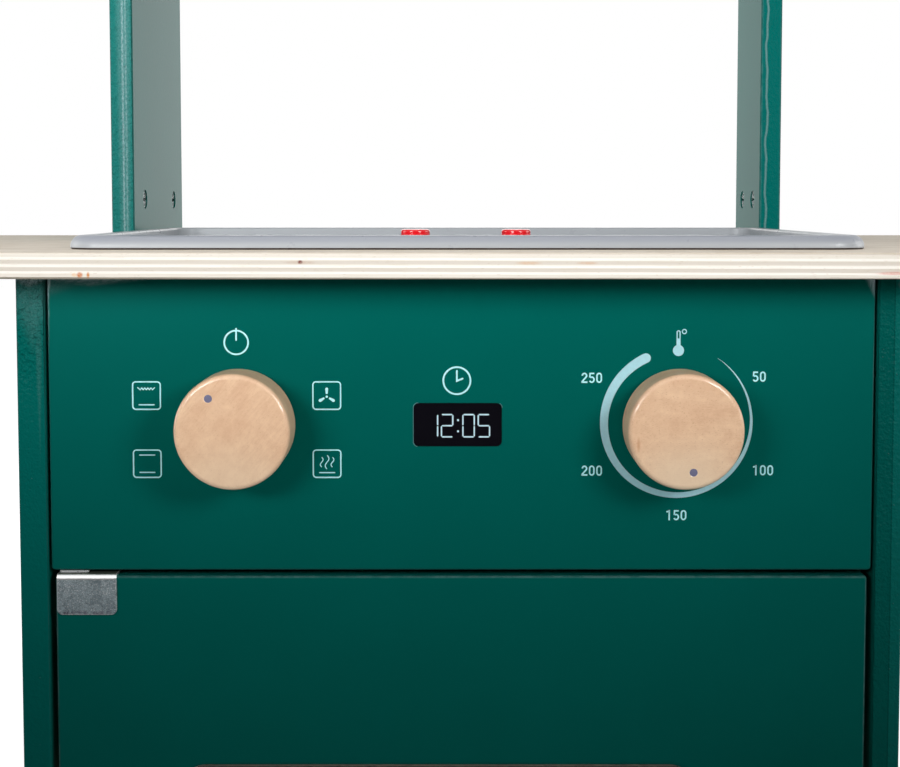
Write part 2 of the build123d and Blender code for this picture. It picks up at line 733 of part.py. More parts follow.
with BuildPart() as door_panel:
    with BuildSketch(front_plane(front_y, 0, door_middle)):
        RectangleRounded(door_width, door_height, door_corner)
    extrude(amount=-door_thickness)
    fillet(front_edges(door_panel), painted_edge)
    fillet(door_panel.faces().sort_by(Axis.Y)[-1].edges(), painted_edge)
    with BuildSketch(front_plane(front_y, window_x, window_z)):
        RectangleRounded(window_width, window_height, window_corner)
    extrude(amount=-door_thickness, mode=Mode.SUBTRACT)
    window_edges = door_panel.faces().sort_by(Axis.Y)[0].inner_wires()[0].edges()
    fillet(window_edges, 2 * painted_edge)
    with BuildSketch(front_plane(door_back_y, window_x, window_z)):
        RectangleRounded(
            pane_width + loose_fit, pane_height + loose_fit, window_corner + pane_lap / 2
        )
    extrude(amount=pane_rebate, mode=Mode.SUBTRACT)
    with Locations((pivot_x, pivot_y, door_top), (pivot_x, pivot_y, door_bottom)):
        Hole(pivot_radius + screw_fit, pivot_depth + screw_fit)
    with Locations(*door_screw_places):
        Hole(small_screw_radius + screw_fit, small_screw_length + screw_fit)
    with Locations(*handle_screw_places):
        Hole(machine_screw_radius + screw_fit)
save(door_panel.part, "door_panel")

with BuildPart() as window_pane:
    with BuildSketch(front_plane(pane_back_y, window_x, window_z)):
        RectangleRounded(pane_width, pane_height, window_corner + pane_lap / 2)
        with Locations(*pane_screw_spots):
            Circle(small_screw_radius + screw_fit, mode=Mode.SUBTRACT)
    extrude(amount=pane_thickness)
save(window_pane.part, "window_pane")

# Door clips: sheet folded round the top and the bottom edge of the door
flange_top = door_top + clip_sheet
with BuildPart() as upper_clip:
    with BuildSketch(Plane.YZ.offset(clip_x - clip_width / 2)):
        with Locations((pivot_y, flange_top)):
            Rectangle(
                door_thickness + 2 * clip_sheet, clip_height, align=(Align.CENTER, Align.MAX)
            )
        with Locations((pivot_y, door_top)):
            Rectangle(door_thickness, clip_height, align=(Align.CENTER, Align.MAX), mode=Mode.SUBTRACT)
    extrude(amount=clip_width)
    fillet(upper_clip.edges().filter_by(Axis.X).group_by(Axis.Z)[1], clip_bend - clip_sheet)
    fillet(upper_clip.edges().filter_by(Axis.X).group_by(Axis.Z)[-1], clip_bend)
    fillet(upper_clip.edges().filter_by(Axis.Y).group_by(Axis.Z)[0], clip_corner)
    with Locations((pivot_x, pivot_y, flange_top)):
        Hole(pivot_radius, 2 * clip_sheet)
    with Locations(*door_screw_places):
        Hole(small_screw_radius + screw_fit, 2 * clip_sheet)
save(upper_clip.part, "upper_clip")

with BuildPart() as lower_clip:
    mirror(upper_clip.part, about=door_mirror)
save(lower_clip.part, "lower_clip")

# Pivot pins: fixed in the clips, they turn in the pivot plates
pin_top = ceiling_bottom - moving_gap
with BuildPart() as upper_pin:
    with BuildSketch(Plane.XY.offset(door_top - pivot_depth)):
        with Locations((pivot_x, pivot_y)):
            Circle(pivot_radius)
    extrude(amount=pin_top - door_top + pivot_depth)
with BuildPart() as pivot_pins:
    add(upper_pin.part)
    mirror(upper_pin.part, about=door_mirror)
save(pivot_pins.part, "pivot_pins")

# Strike plate for the magnet
with BuildPart() as strike_plate:
    with BuildSketch(front_plane(door_back_y, catch_x, strike_top - strike_height / 2)):
        RectangleRounded(strike_width, strike_height, strike_corner)
        with Locations((0, strike_screw_z - strike_top + strike_height / 2)):
            Circle(small_screw_radius + screw_fit, mode=Mode.SUBTRACT)
    extrude(amount=-strike_thickness)
save(strike_plate.part, "strike_plate")

# Door handle: a beech bar on two spacers
with BuildPart() as handle_bar:
    with BuildSketch(front_plane(handle_face_y, handle_x, window_z)):
        SlotOverall(handle_length, handle_width, rotation=90)
    extrude(amount=handle_thickness)
    fillet(handle_bar.faces().filter_by(Axis.Y).edges(), handle_round)
    with Locations(*handle_screw_places):
        Hole(machine_screw_radius + screw_fit, handle_screw_length + screw_fit)
save(handle_bar.part, "handle_bar")

with BuildPart() as handle_spacers:
    with BuildSketch(front_plane(front_y)):
        with Locations(*handle_spots):
            Circle(spacer_radius)
            Circle(machine_screw_radius + screw_fit, mode=Mode.SUBTRACT)
    extrude(amount=handle_standoff)
save(handle_spacers.part, "handle_spacers")

# Dials: turned beech, carried by a machine screw that turns in a bush
dial_back_y = front_y - moving_gap - felt_thickness
washer_front_y = panel_back_y + bush_flange_thickness + moving_gap
head_y = washer_front_y + washer_thickness + spring_washer_thickness
dial_screw_length = head_y - dial_back_y + screw_grip
dial_screw = pan_screw(dial_screw_length, machine_screw_radius, machine_screw_head, machine_screw_rise)

with BuildPart() as dial_bushes:
    for x in dial_places:
        with BuildSketch(front_plane(panel_back_y, x, dial_z)):
            Circle(bush_radius)
        extrude(amount=panel_thickness - moving_gap)
        with BuildSketch(front_plane(panel_back_y, x, dial_z)):
            Circle(bush_flange_radius)
        extrude(amount=-bush_flange_thickness)
        with Locations(front_plane(panel_back_y, x, dial_z).location):
            Hole(machine_screw_radius + running_fit)
save(dial_bushes.part, "dial_bushes")

for name, x, pointer_angle in (
    ("left_dial", dial_places[0], left_pointer_angle),
    ("right_dial", dial_places[1], right_pointer_angle),
):
    dial_plane = front_plane(dial_back_y, x, dial_z)
    pointer_sphere = (pointer_radius**2 + pointer_depth**2) / (2 * pointer_depth)
    pointer_x = x - pointer_offset * sin(radians(pointer_angle))
    pointer_z = dial_z + pointer_offset * cos(radians(pointer_angle))
    pointer_y = dial_back_y - dial_thickness - pointer_sphere + pointer_depth
    with BuildPart() as dial:
        with BuildSketch(dial_plane):
            Circle(dial_radius)
        extrude(amount=dial_thickness)
        fillet(front_edges(dial), dial_round)
        chamfer(dial.faces().sort_by(Axis.Y)[-1].edges(), dial_back_chamfer)
        with BuildSketch(dial_plane):
            Circle(insert_radius)
        extrude(amount=insert_length, mode=Mode.SUBTRACT)
        with Locations((pointer_x, pointer_y, pointer_z)):
            Sphere(pointer_sphere, mode=Mode.SUBTRACT)
    save(dial.part, name)

    with BuildPart() as insert:
        with BuildSketch(dial_plane):
            Circle(insert_radius)
            Circle(machine_screw_radius + screw_fit, mode=Mode.SUBTRACT)
        extrude(amount=insert_length)
    save(insert.part, f"{name}_insert")

    with BuildPart() as felt:
        with BuildSketch(dial_plane):
            Circle(felt_radius)
            Circle(machine_screw_radius + screw_fit, mode=Mode.SUBTRACT)
        extrude(amount=-felt_thickness)
    save(felt.part, f"{name}_felt")

    with BuildPart() as washers:
        with BuildSketch(front_plane(washer_front_y, x, dial_z)):
            Circle(washer_radius)
            Circle(machine_screw_radius + screw_fit, mode=Mode.SUBTRACT)
        extrude(amount=-washer_thickness)
        with BuildSketch(front_plane(washer_front_y + washer_thickness, x, dial_z)):
            Circle(spring_washer_radius)
            Circle(machine_screw_radius + screw_fit, mode=Mode.SUBTRACT)
        extrude(amount=-spring_washer_thickness)
    save(washers.part, f"{name}_washers")
    save(group(dial_screw, facing((0, 1, 0), [(x, head_y, dial_z)])), f"{name}_screw")

# Hob tray: a moulded rim round a recessed floor, with zones, button guides and screw bosses
recess_width = hob_width - 2 * hob_rim_width
recess_depth = hob_depth - 2 * hob_rim_width
boss_x = hob_cut_width / 2 - boss_inset
boss_y = hob_cut_depth / 2 - boss_inset
boss_spots = [(hob_shift + x, hob_middle_y + y) for x in (-boss_x, boss_x) for y in (-boss_y, boss_y)]
hob_screw_z = worktop_height - boss_joint - boss_inset
hob_screw_length = 2 * boss_inset
hob_screw_places = facing((0, 0, -1), [(x, y, hob_screw_z) for x, y in boss_spots])
guide_inner = button_radius + button_flange + button_guide_gap
rim_void = hob_rim_width - 2 * hob_wall

with BuildPart() as hob_tray:
    with BuildSketch(Plane.XY.offset(worktop_height)):
        with Locations((hob_shift, hob_middle_y)):
            RectangleRounded(hob_width, hob_depth, hob_corner)
    extrude(amount=hob_rim_height)
    fillet(hob_tray.faces().sort_by(Axis.Z)[-1].edges(), hob_rim_round)
    chamfer(hob_tray.faces().sort_by(Axis.Z)[0].edges(), hob_foot_chamfer)
    with BuildSketch(Plane.XY.offset(worktop_height + hob_floor)):
        with Locations((hob_shift, hob_middle_y)):
            RectangleRounded(recess_width, recess_depth, hob_corner - hob_rim_width / 2)
    extrude(amount=hob_rim_height, mode=Mode.SUBTRACT)
    rim_top = hob_tray.faces().filter_by(Plane.XY).group_by(Axis.Z)[-1][0]
    fillet(rim_top.inner_wires()[0].edges(), hob_wall / 2)
    with BuildSketch(Plane.XY.offset(worktop_height + hob_floor)):
        with Locations((hob_shift, hob_middle_y)):
            with GridLocations(zone_spacing, zone_pitch, 2, 2):
                Circle(zone_radius)
                Circle(zone_radius - zone_groove, mode=Mode.SUBTRACT)
    extrude(amount=-zone_groove_depth, mode=Mode.SUBTRACT)
    with BuildSketch(Plane.XY.offset(worktop_height)):
        with Locations((hob_shift, hob_middle_y)):
            RectangleRounded(hob_width - 2 * hob_wall, hob_depth - 2 * hob_wall, hob_corner - hob_wall)
            RectangleRounded(
                hob_width - 2 * hob_wall - 2 * rim_void, hob_depth - 2 * hob_wall - 2 * rim_void,
                hob_corner - hob_wall - rim_void, mode=Mode.SUBTRACT,
            )
    extrude(amount=hob_floor, mode=Mode.SUBTRACT)
    with BuildSketch(Plane.XY.offset(worktop_height)):
        with Locations(*[(x, button_y) for x in button_places]):
            Circle(guide_inner + hob_wall)
    extrude(amount=-button_guide_length)
    with BuildSketch(Plane.XY.offset(worktop_height)):
        with Locations(*[(x, button_y) for x in button_places]):
            Circle(guide_inner)
    extrude(amount=-button_guide_length, mode=Mode.SUBTRACT)
    with BuildSketch(Plane.XY.offset(worktop_height)):
        with Locations(*boss_spots):
            Circle(boss_radius)
    extrude(amount=-boss_joint)
    with Locations(*[(x, button_y, worktop_height) for x in button_places]):
        Hole(button_radius + button_guide_gap, hob_rim_height)
    with Locations(*[(x, y, hob_screw_z) for x, y in boss_spots]):
        Hole(small_screw_radius + screw_fit, hob_screw_length + screw_fit)
save(hob_tray.part, "hob_tray")

# Hob housing: a tub under the worktop, drawn up against it by the screws in its bosses
housing_top = worktop_bottom
housing_bottom = worktop_height - housing_depth
tub_width = hob_cut_width - 2 * housing_gap
tub_depth = hob_cut_depth - 2 * housing_gap
board_top = worktop_height - board_drop
board_bottom = board_top - board_thickness
boss_bottoms = facing((0, 0, -1), [(x, y, housing_bottom) for x, y in boss_spots])
with BuildPart() as hob_housing:
    with BuildSketch(Plane.XY.offset(housing_bottom)):
        with Locations((hob_shift, hob_middle_y)):
            RectangleRounded(tub_width, tub_depth, housing_corner)
    extrude(amount=housing_depth - worktop_thickness)
    with BuildSketch(Plane.XY.offset(housing_top)):
        with Locations((hob_shift, hob_middle_y)):
            RectangleRounded(
                tub_width + 2 * housing_flange, tub_depth + 2 * housing_flange,
                housing_corner + housing_flange,
            )
    extrude(amount=-housing_wall)
    with BuildSketch(Plane.XY.offset(housing_bottom + housing_wall)):
        with Locations((hob_shift, hob_middle_y)):
            RectangleRounded(
                tub_width - 2 * housing_wall, tub_depth - 2 * housing_wall, housing_corner - housing_wall
            )
    extrude(amount=housing_depth, mode=Mode.SUBTRACT)
    with BuildSketch(Plane.XY.offset(housing_bottom)):
        with Locations(*boss_spots):
            Circle(boss_radius)
    extrude(amount=housing_depth - boss_joint)
    with BuildSketch(Plane.XY.offset(housing_bottom)):
        with Locations((hob_shift, hob_middle_y)):
            with GridLocations(board_width - 2 * pillar_inset, board_depth - 2 * pillar_inset, 2, 2):
                Circle(pillar_radius)
    extrude(amount=board_bottom - housing_bottom)
    with BuildSketch(Plane.XY.offset(housing_bottom)):
        with Locations((hob_shift, hob_middle_y)):
            Rectangle(hatch_width, hatch_depth)
    extrude(amount=housing_wall, mode=Mode.SUBTRACT)
    with Locations(*boss_bottoms):
        CounterBoreHole(
            small_screw_radius + screw_fit, small_screw_head + loose_fit, hob_screw_z - housing_bottom
        )
save(hob_housing.part, "hob_housing")

# Battery hatch: it lies in the floor of the tub and rests on a lip inside
with BuildPart() as battery_hatch:
    with BuildSketch(Plane.XY.offset(housing_bottom)):
        with Locations((hob_shift, hob_middle_y)):
            Rectangle(hatch_width - loose_fit, hatch_depth - loose_fit)
    extrude(amount=housing_wall)
    with BuildSketch(Plane.XY.offset(housing_bottom + housing_wall)):
        with Locations((hob_shift, hob_middle_y)):
            Rectangle(hatch_width - loose_fit, hatch_depth + 2 * hatch_lip)
            Rectangle(cell_length + 2 * cell_room, hatch_depth - 2 * hatch_rib, mode=Mode.SUBTRACT)
    extrude(amount=hatch_lip_thickness)
save(battery_hatch.part, "battery_hatch")

with BuildPart() as battery_cells:
    cell_z = housing_bottom + housing_wall + cell_radius
    with Locations(*[(hob_shift, hob_middle_y + side * cell_pitch / 2, cell_z) for side in (-1, 1)]):
        Cylinder(cell_radius, cell_length, rotation=(0, 90, 0))
save(battery_cells.part, "battery_cells")

with BuildPart() as circuit_board:
    with BuildSketch(Plane.XY.offset(board_bottom)):
        with Locations((hob_shift, hob_middle_y)):
            RectangleRounded(board_width, board_depth, board_corner)
    extrude(amount=board_thickness)
save(circuit_board.part, "circuit_board")

# A switch stands inside each button's spring, where the pressed button meets its plunger
spring_seat = worktop_height + button_rise - button_crown
switch_top = spring_seat - button_travel - moving_gap
with BuildPart() as button_switches:
    with BuildSketch(Plane.XY.offset(board_top)):
        with Locations(*[(x, button_y) for x in button_places]):
            Rectangle(switch_width, switch_width)
    extrude(amount=switch_height)
    with BuildSketch(Plane.XY.offset(board_top)):
        with Locations(*[(x, button_y) for x in button_places]):
            Circle(switch_plunger)
    extrude(amount=switch_top - board_top)
save(button_switches.part, "button_switches")

# Push buttons: a cap with a flange that stops under the tray, on a spring on the circuit board
button_top = worktop_height + button_rise
flange_top_z = worktop_height - moving_gap
flange_bottom_z = flange_top_z - button_flange_thickness
for name, x in (("left_button", button_places[0]), ("right_button", button_places[1])):
    with BuildPart() as button:
        with BuildSketch(Plane.XY.offset(flange_bottom_z)):
            with Locations((x, button_y)):
                Circle(button_radius)
        extrude(amount=button_top - flange_bottom_z)
        fillet(button.faces().sort_by(Axis.Z)[-1].edges(), button_round)
        with BuildSketch(Plane.XY.offset(flange_bottom_z)):
            with Locations((x, button_y)):
                Circle(button_radius + button_flange)
        extrude(amount=button_flange_thickness)
        with BuildSketch(Plane.XY.offset(flange_bottom_z)):
            with Locations((x, button_y)):
                Circle(button_radius - button_wall)
        extrude(amount=spring_seat - flange_bottom_z, mode=Mode.SUBTRACT)
    save(button.part, name)

    with BuildPart() as spring:
        with BuildLine():
            coil = Helix(
                pitch=(spring_seat - board_top) / spring_turns, height=spring_seat - board_top,
                radius=spring_radius - spring_wire / 2, center=(x, button_y, board_top),
            )
        with BuildSketch(Plane(origin=coil @ 0, z_dir=coil % 0)):
            Circle(spring_wire / 2)
        sweep()
        split(bisect_by=Plane.XY.offset(board_top), keep=Keep.TOP)
        split(bisect_by=Plane.XY.offset(spring_seat), keep=Keep.BOTTOM)
    save(spring.part, f"{name}_spring")

# Glides nailed into the side panels
with BuildPart() as glide:
    Cylinder(glide_radius, glide_height, align=(Align.CENTER, Align.CENTER, Align.MIN))
    fillet(glide.faces().sort_by(Axis.Z)[-1].edges(), glide_round)
    Cylinder(glide_pin_radius, glide_pin_length, align=(Align.CENTER, Align.CENTER, Align.MAX))
save(group(glide.part, glide_places), "glides")

# Screws
cabinet_screw = countersunk_screw(cabinet_screw_length, wood_screw_radius, wood_screw_head)
rail_screw = countersunk_screw(rail_screw_length, wood_screw_radius, wood_screw_head)
small_screw = pan_screw(small_screw_length, small_screw_radius, small_screw_head, small_screw_rise)
back_screw = pan_screw(back_screw_length, small_screw_radius, small_screw_head, small_screw_rise)
rack_screw = pan_screw(rack_screw_length, small_screw_radius, small_screw_head, small_screw_rise)
hob_screw = pan_screw(hob_screw_length, small_screw_radius, small_screw_head, small_screw_rise)
handle_screw = pan_screw(
    handle_screw_length, machine_screw_radius, machine_screw_head, machine_screw_rise
)
save(group(cabinet_screw, cabinet_screw_places), "cabinet_screws")
save(group(rail_screw, rail_screw_places), "rail_screws")
save(group(back_screw, back_screw_places), "back_panel_screws")
save(group(small_screw, small_ceiling_screws + small_base_screws), "plate_screws")
save(group(rack_screw, rack_screw_places), "rack_screws")
save(group(small_screw, door_screw_places), "door_screws")
save(group(handle_screw, handle_screw_places), "handle_screws")
save(group(hob_screw, hob_screw_places), "hob_screws")
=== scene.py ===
import json
from math import ceil, cos, hypot, pi, radians, sin

import bmesh
import bpy
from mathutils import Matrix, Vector


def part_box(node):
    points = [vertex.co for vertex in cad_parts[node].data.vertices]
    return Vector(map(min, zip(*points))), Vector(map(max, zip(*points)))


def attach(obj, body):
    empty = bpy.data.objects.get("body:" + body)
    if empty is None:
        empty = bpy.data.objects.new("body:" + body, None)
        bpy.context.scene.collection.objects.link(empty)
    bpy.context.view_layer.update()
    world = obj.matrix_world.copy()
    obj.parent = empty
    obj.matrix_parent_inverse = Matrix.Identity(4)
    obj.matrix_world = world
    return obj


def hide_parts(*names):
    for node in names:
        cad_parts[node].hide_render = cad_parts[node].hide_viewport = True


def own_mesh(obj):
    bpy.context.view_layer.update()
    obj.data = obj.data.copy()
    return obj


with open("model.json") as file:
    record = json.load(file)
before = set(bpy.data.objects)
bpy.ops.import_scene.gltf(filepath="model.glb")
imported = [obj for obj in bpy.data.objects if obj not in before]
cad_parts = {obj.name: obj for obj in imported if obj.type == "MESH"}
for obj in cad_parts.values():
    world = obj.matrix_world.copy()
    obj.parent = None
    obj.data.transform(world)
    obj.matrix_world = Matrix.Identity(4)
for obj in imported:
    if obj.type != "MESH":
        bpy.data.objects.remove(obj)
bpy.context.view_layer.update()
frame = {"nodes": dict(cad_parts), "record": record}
cadNodes = frame["nodes"]
slotOf = {part["node"]: part["material_slot"] for part in frame["record"]["subparts"]}
scene = bpy.context.scene
mm = 0.001
print("loaded", len(cadNodes), "nodes")


# A colour written as 0 to 255 screen values, turned into the linear values that sockets take
def tone(red, green, blue):
    levels = [value / 255 for value in (red, green, blue)]
    linear = [v / 12.92 if v <= 0.04045 else ((v + 0.055) / 1.055) ** 2.4 for v in levels]
    return (*linear, 1.0)


def addObject(name, data):
    thing = bpy.data.objects.new(name, data)
    scene.collection.objects.link(thing)
    return thing


def isSocket(value):
    return isinstance(value, bpy.types.NodeSocket)


# An output is linked to the socket, and anything else becomes its value
def feed(value, socket):
    if isSocket(value):
        socket.id_data.links.new(value, socket)
    elif value is not None:
        socket.default_value = value


# Feeds several sockets; an underscore in a name stands for a space
def wire(sockets, **values):
    for name, value in values.items():
        feed(value, sockets[name.replace("_", " ")])


def addNode(tree, kind, inputs=None, **settings):
    node = tree.nodes.new("ShaderNode" + kind)
    for name, value in settings.items():
        setattr(node, name, value)
    for name, value in (inputs or {}).items():
        feed(value, node.inputs[name])
    return node.outputs


# One more node in the tree that the first linked input comes from
def follow(kind, inputs, **settings):
    source = next(value for value in inputs.values() if isSocket(value))
    return addNode(source.id_data, kind, inputs, **settings)


def maths(operation, first, second=0.0, clamp=False):
    return follow("Math", {0: first, 1: second}, operation=operation, use_clamp=clamp)[0]


def plus(first, second, clamp=False):
    return maths("ADD", first, second, clamp)


def minus(first, second):
    return maths("SUBTRACT", first, second)


def times(first, second):
    return maths("MULTIPLY", first, second)


def larger(first, second):
    return maths("MAXIMUM", first, second)


def smaller(first, second):
    return maths("MINIMUM", first, second)


def vectors(operation, first, second=(0, 0, 0)):
    outputs = follow("VectorMath", {0: first, 1: second}, operation=operation)
    return outputs["Value" if operation in ("DOT_PRODUCT", "LENGTH") else "Vector"]


def parts(vector):
    return follow("SeparateXYZ", {0: vector})


def mixColours(factor, first, second, blend="MIX"):
    return follow("Mix", {0: factor, 6: first, 7: second}, data_type="RGBA", blend_type=blend)[2]


def mixValues(factor, first, second):
    return follow("Mix", {0: factor, 2: first, 3: second})[0]


def remap(value, low, high, newLow=0.0, newHigh=1.0, smooth=True):
    sockets = {"Value": value, "From Min": low, "From Max": high, "To Min": newLow, "To Max": newHigh}
    return follow("MapRange", sockets, interpolation_type="SMOOTHSTEP" if smooth else "LINEAR")[0]


def noise(vector, scale, detail=2.0, roughness=0.5, distortion=0.0):
    sockets = {"Vector": vector, "Scale": scale, "Detail": detail, "Roughness": roughness,
               "Distortion": distortion}
    return follow("TexNoise", sockets)[0]


# Noise squeezed along each axis by a factor of its own
def streaked(vector, factors, detail=2.0, roughness=0.5):
    return noise(vectors("MULTIPLY", vector, factors), 1.0, detail, roughness)


def cells(vector, scale):
    return follow("TexVoronoi", {"Vector": vector, "Scale": scale})["Distance"]


# A group that takes a Vector and the given inputs, listed with their default values
def newGroup(name, inputs, **outputs):
    group = bpy.data.node_groups.new(name, "ShaderNodeTree")
    for title, default in {"Vector": (0, 0, 0), **inputs}.items():
        kind = "Float" if isinstance(default, float) else ("Vector", "Color")[len(default) - 3]
        socket = group.interface.new_socket(title, in_out="INPUT", socket_type="NodeSocket" + kind)
        socket.default_value = default
    for title, kind in outputs.items():
        group.interface.new_socket(title, in_out="OUTPUT", socket_type="NodeSocket" + kind)
    given = group.nodes.new("NodeGroupInput").outputs
    result = group.nodes.new("NodeGroupOutput").inputs
    return group, given, given["Vector"], result


def placeGroup(group, vector, **values):
    node = vector.id_data.nodes.new("ShaderNodeGroup")
    node.node_tree = group
    wire(node.inputs, Vector=vector, **values)
    return node.outputs


cameraLook = {
    "place": (-0.00287, -0.72064, 0.45893),
    "pitchDown": 3.25,  # degrees
    "lens": 56.392,  # mm on 36 mm film
    "shift": (-0.0049, -0.1095),
}


def addCamera(look):
    data = bpy.data.cameras.new("camera")
    data.lens = look["lens"]
    data.sensor_width = 36
    data.shift_x, data.shift_y = look["shift"]
    data.clip_start = 0.02
    eye = addObject("camera", data)
    eye.location = look["place"]
    eye.rotation_euler = (radians(90 - look["pitchDown"]), 0, 0)
    scene.camera = eye


studioLook = {
    "floorSize": 14.0,
    "floorWhite": (0.85, 0.85, 0.85, 1),
    "floorDark": (0.02, 0.02, 0.02, 1),  # what gloss sees of the floor in front
    "floorBehind": (-0.6, 0.3),  # depths between which gloss begins to see the bright floor
    "floorGlow": (0.62, 1.0),  # plain white that the floor shows to the eye, near the oven and far from it
    "glowReach": (0.45, 1.1),  # metres from the middle
    "skyFill": 0.075,  # soft light from all round
    "frontDim": 0.12,  # what gloss sees of the dim room in front
    "wall": (-0.35, 0.25),  # directions between which the dim front turns into the white room behind
    "ceiling": (0.12, 0.5),  # heights between which gloss sees the white ceiling begin
}
# A key's spread is the angle of its beam, so that it falls off below the panel
lamps = {
    "leftKey": {"place": (-0.429, -0.687, 0.654), "aim": (-0.142, -0.14, 0.776), "size": 0.33, "watts": 2.6,
                "spread": 83},
    "rightKey": {"place": (0.426, -0.620, 0.645), "aim": (-0.009, -0.14, 0.604), "size": 0.224, "watts": 0.92,
                 "spread": 90},
    "topSoftbox": {"place": (0.0, 0.1, 1.7), "aim": (0.0, 0.05, 0.4), "size": 0.9, "watts": 5.0},
    "leftSide": {"place": (-1.6, 0.25, 0.75), "aim": (0.0, 0.05, 0.3), "size": 0.8, "watts": 8.0},
    "rightSide": {"place": (1.6, 0.25, 0.75), "aim": (0.0, 0.05, 0.3), "size": 0.8, "watts": 8.0},
    "backWall": {"place": (0.0, 1.9, 0.8), "aim": (0.0, 0.1, 0.3), "size": 1.0, "watts": 3.0},
}


def seenDirectly(tree):
    path = addNode(tree, "LightPath")
    return larger(path["Is Camera Ray"], path["Is Transmission Ray"]), path["Is Glossy Ray"]


def addFloor(look):
    mesh = bpy.data.meshes.new("floor")
    sheet = bmesh.new()
    bmesh.ops.create_grid(sheet, x_segments=2, y_segments=2, size=look["floorSize"] / 2)
    sheet.to_mesh(mesh)
    sheet.free()
    floor = addObject("floor", mesh)
    material = bpy.data.materials.new("floorPaper")
    material.use_nodes = True
    tree = material.node_tree
    tree.nodes.clear()
    plain, glossy = seenDirectly(tree)
    place = addNode(tree, "NewGeometry")["Position"]
    behind = times(glossy, remap(parts(place)["Y"], *look["floorBehind"]))
    white = remap(vectors("LENGTH", place), *look["glowReach"], *look["floorGlow"])
    glow = addNode(tree, "Emission", {"Strength": times(larger(plain, behind), white)})[0]
    colour = mixColours(minus(glossy, behind), look["floorWhite"], look["floorDark"])
    paper = addNode(tree, "BsdfDiffuse", {"Color": colour})[0]
    addNode(tree, "OutputMaterial", {0: follow("AddShader", {0: paper, 1: glow})[0]})
    mesh.materials.append(material)


def addWorld(look):
    world = bpy.data.worlds.new("studio")
    scene.world = world
    world.use_nodes = True
    tree = world.node_tree
    tree.nodes.clear()
    plain, glossy = seenDirectly(tree)
    direction = parts(addNode(tree, "TexCoord")["Generated"])
    wall = remap(direction["Y"], *look["wall"], look["frontDim"], 1.0)
    ceiling = remap(direction["Z"], *look["ceiling"])
    room = times(glossy, larger(wall, ceiling))
    fill = times(minus(1.0, larger(plain, glossy)), look["skyFill"])
    total = plus(plus(room, fill), plain)
    sky = addNode(tree, "Background", {"Color": (1, 1, 1, 1), "Strength": total})[0]
    addNode(tree, "OutputWorld", {0: sky})


def addLamp(name, look):
    data = bpy.data.lights.new(name, "AREA")
    data.shape = "SQUARE"
    data.size = look["size"]
    data.energy = look["watts"]
    data.spread = radians(look.get("spread", 180))
    lamp = addObject(name, data)
    lamp.location = look["place"]
    aim = Vector(look["aim"]) - Vector(look["place"])
    lamp.rotation_euler = aim.to_track_quat("-Z", "Y").to_euler()
    lamp.visible_camera = False


addCamera(cameraLook)
addFloor(studioLook)
addWorld(studioLook)
for lampName, lampLook in lamps.items():
    addLamp(lampName, lampLook)
scene.view_settings.view_transform = "Standard"
print("studio set up")


# A mask along the edges of a box, from the second smallest distance to its faces
def makeBoxEdges():
    group, given, place, result = newGroup(
        "boxEdges", {"Low": (0, 0, 0), "High": (1, 1, 1), "Reach": 0.002}, Mask="Float")
    above = vectors("SUBTRACT", place, given["Low"])
    below = vectors("SUBTRACT", given["High"], place)
    x, y, z = parts(vectors("MINIMUM", above, below))
    least = smaller(smaller(x, y), z)
    most = larger(larger(x, y), z)
    middle = minus(minus(plus(plus(x, y), z), least), most)
    wire(result, Mask=remap(middle, 0.0, given["Reach"], 1.0, 0.0))
    return group


# Sprayed paint: orange peel, a few specks of dust caught in it, and slow changes of shade
def makeSprayCoat():
    group, given, place, result = newGroup(
        "sprayCoat", {"Peel": 1.0, "Specks": 0.5}, Height="Float", Shade="Float", Speck="Float")
    rough = plus(times(noise(place, 480.0, 1.0), 0.7), times(noise(place, 1100.0, 1.0), 0.3))
    rare = remap(noise(place, 60.0, 1.0), 0.54, 0.62)
    dot = times(remap(cells(place, 300.0), 0.04, 0.12, 1.0, 0.0), rare)
    speck = times(dot, given["Specks"])
    height = plus(times(rough, given["Peel"]), speck)
    wire(result, Height=height, Shade=noise(place, 22.0, 3.0, 0.55), Speck=speck)
    return group


# A soft patch round a centre, broken up by streaks; round, or a wedge with straight sides. All in metres
def makeStainAndHighlightPatch():
    group, given, place, result = newGroup("stainAndHighlightPatch", {
        "Centre": (0, 0, 0), "Size": (0.01, 0.01, 0.01), "Streaks": (900, 900, 900),
        "Broken": 0.6, "Wedge": 1.0}, Mask="Float")
    offset = vectors("SUBTRACT", place, given["Centre"])
    apart = vectors("ABSOLUTE", vectors("DIVIDE", offset, given["Size"]))
    straight = vectors("DOT_PRODUCT", apart, (1, 1, 1))
    reach = mixValues(given["Wedge"], vectors("LENGTH", apart), straight)
    soft = remap(reach, 0.35, 1.0, 1.0, 0.0)
    streaks = streaked(place, given["Streaks"], 3.0, 0.6)
    gaps = times(remap(streaks, 0.38, 0.62, 1.0, 0.0), given["Broken"])
    wire(result, Mask=times(soft, minus(1.0, gaps)))
    return group


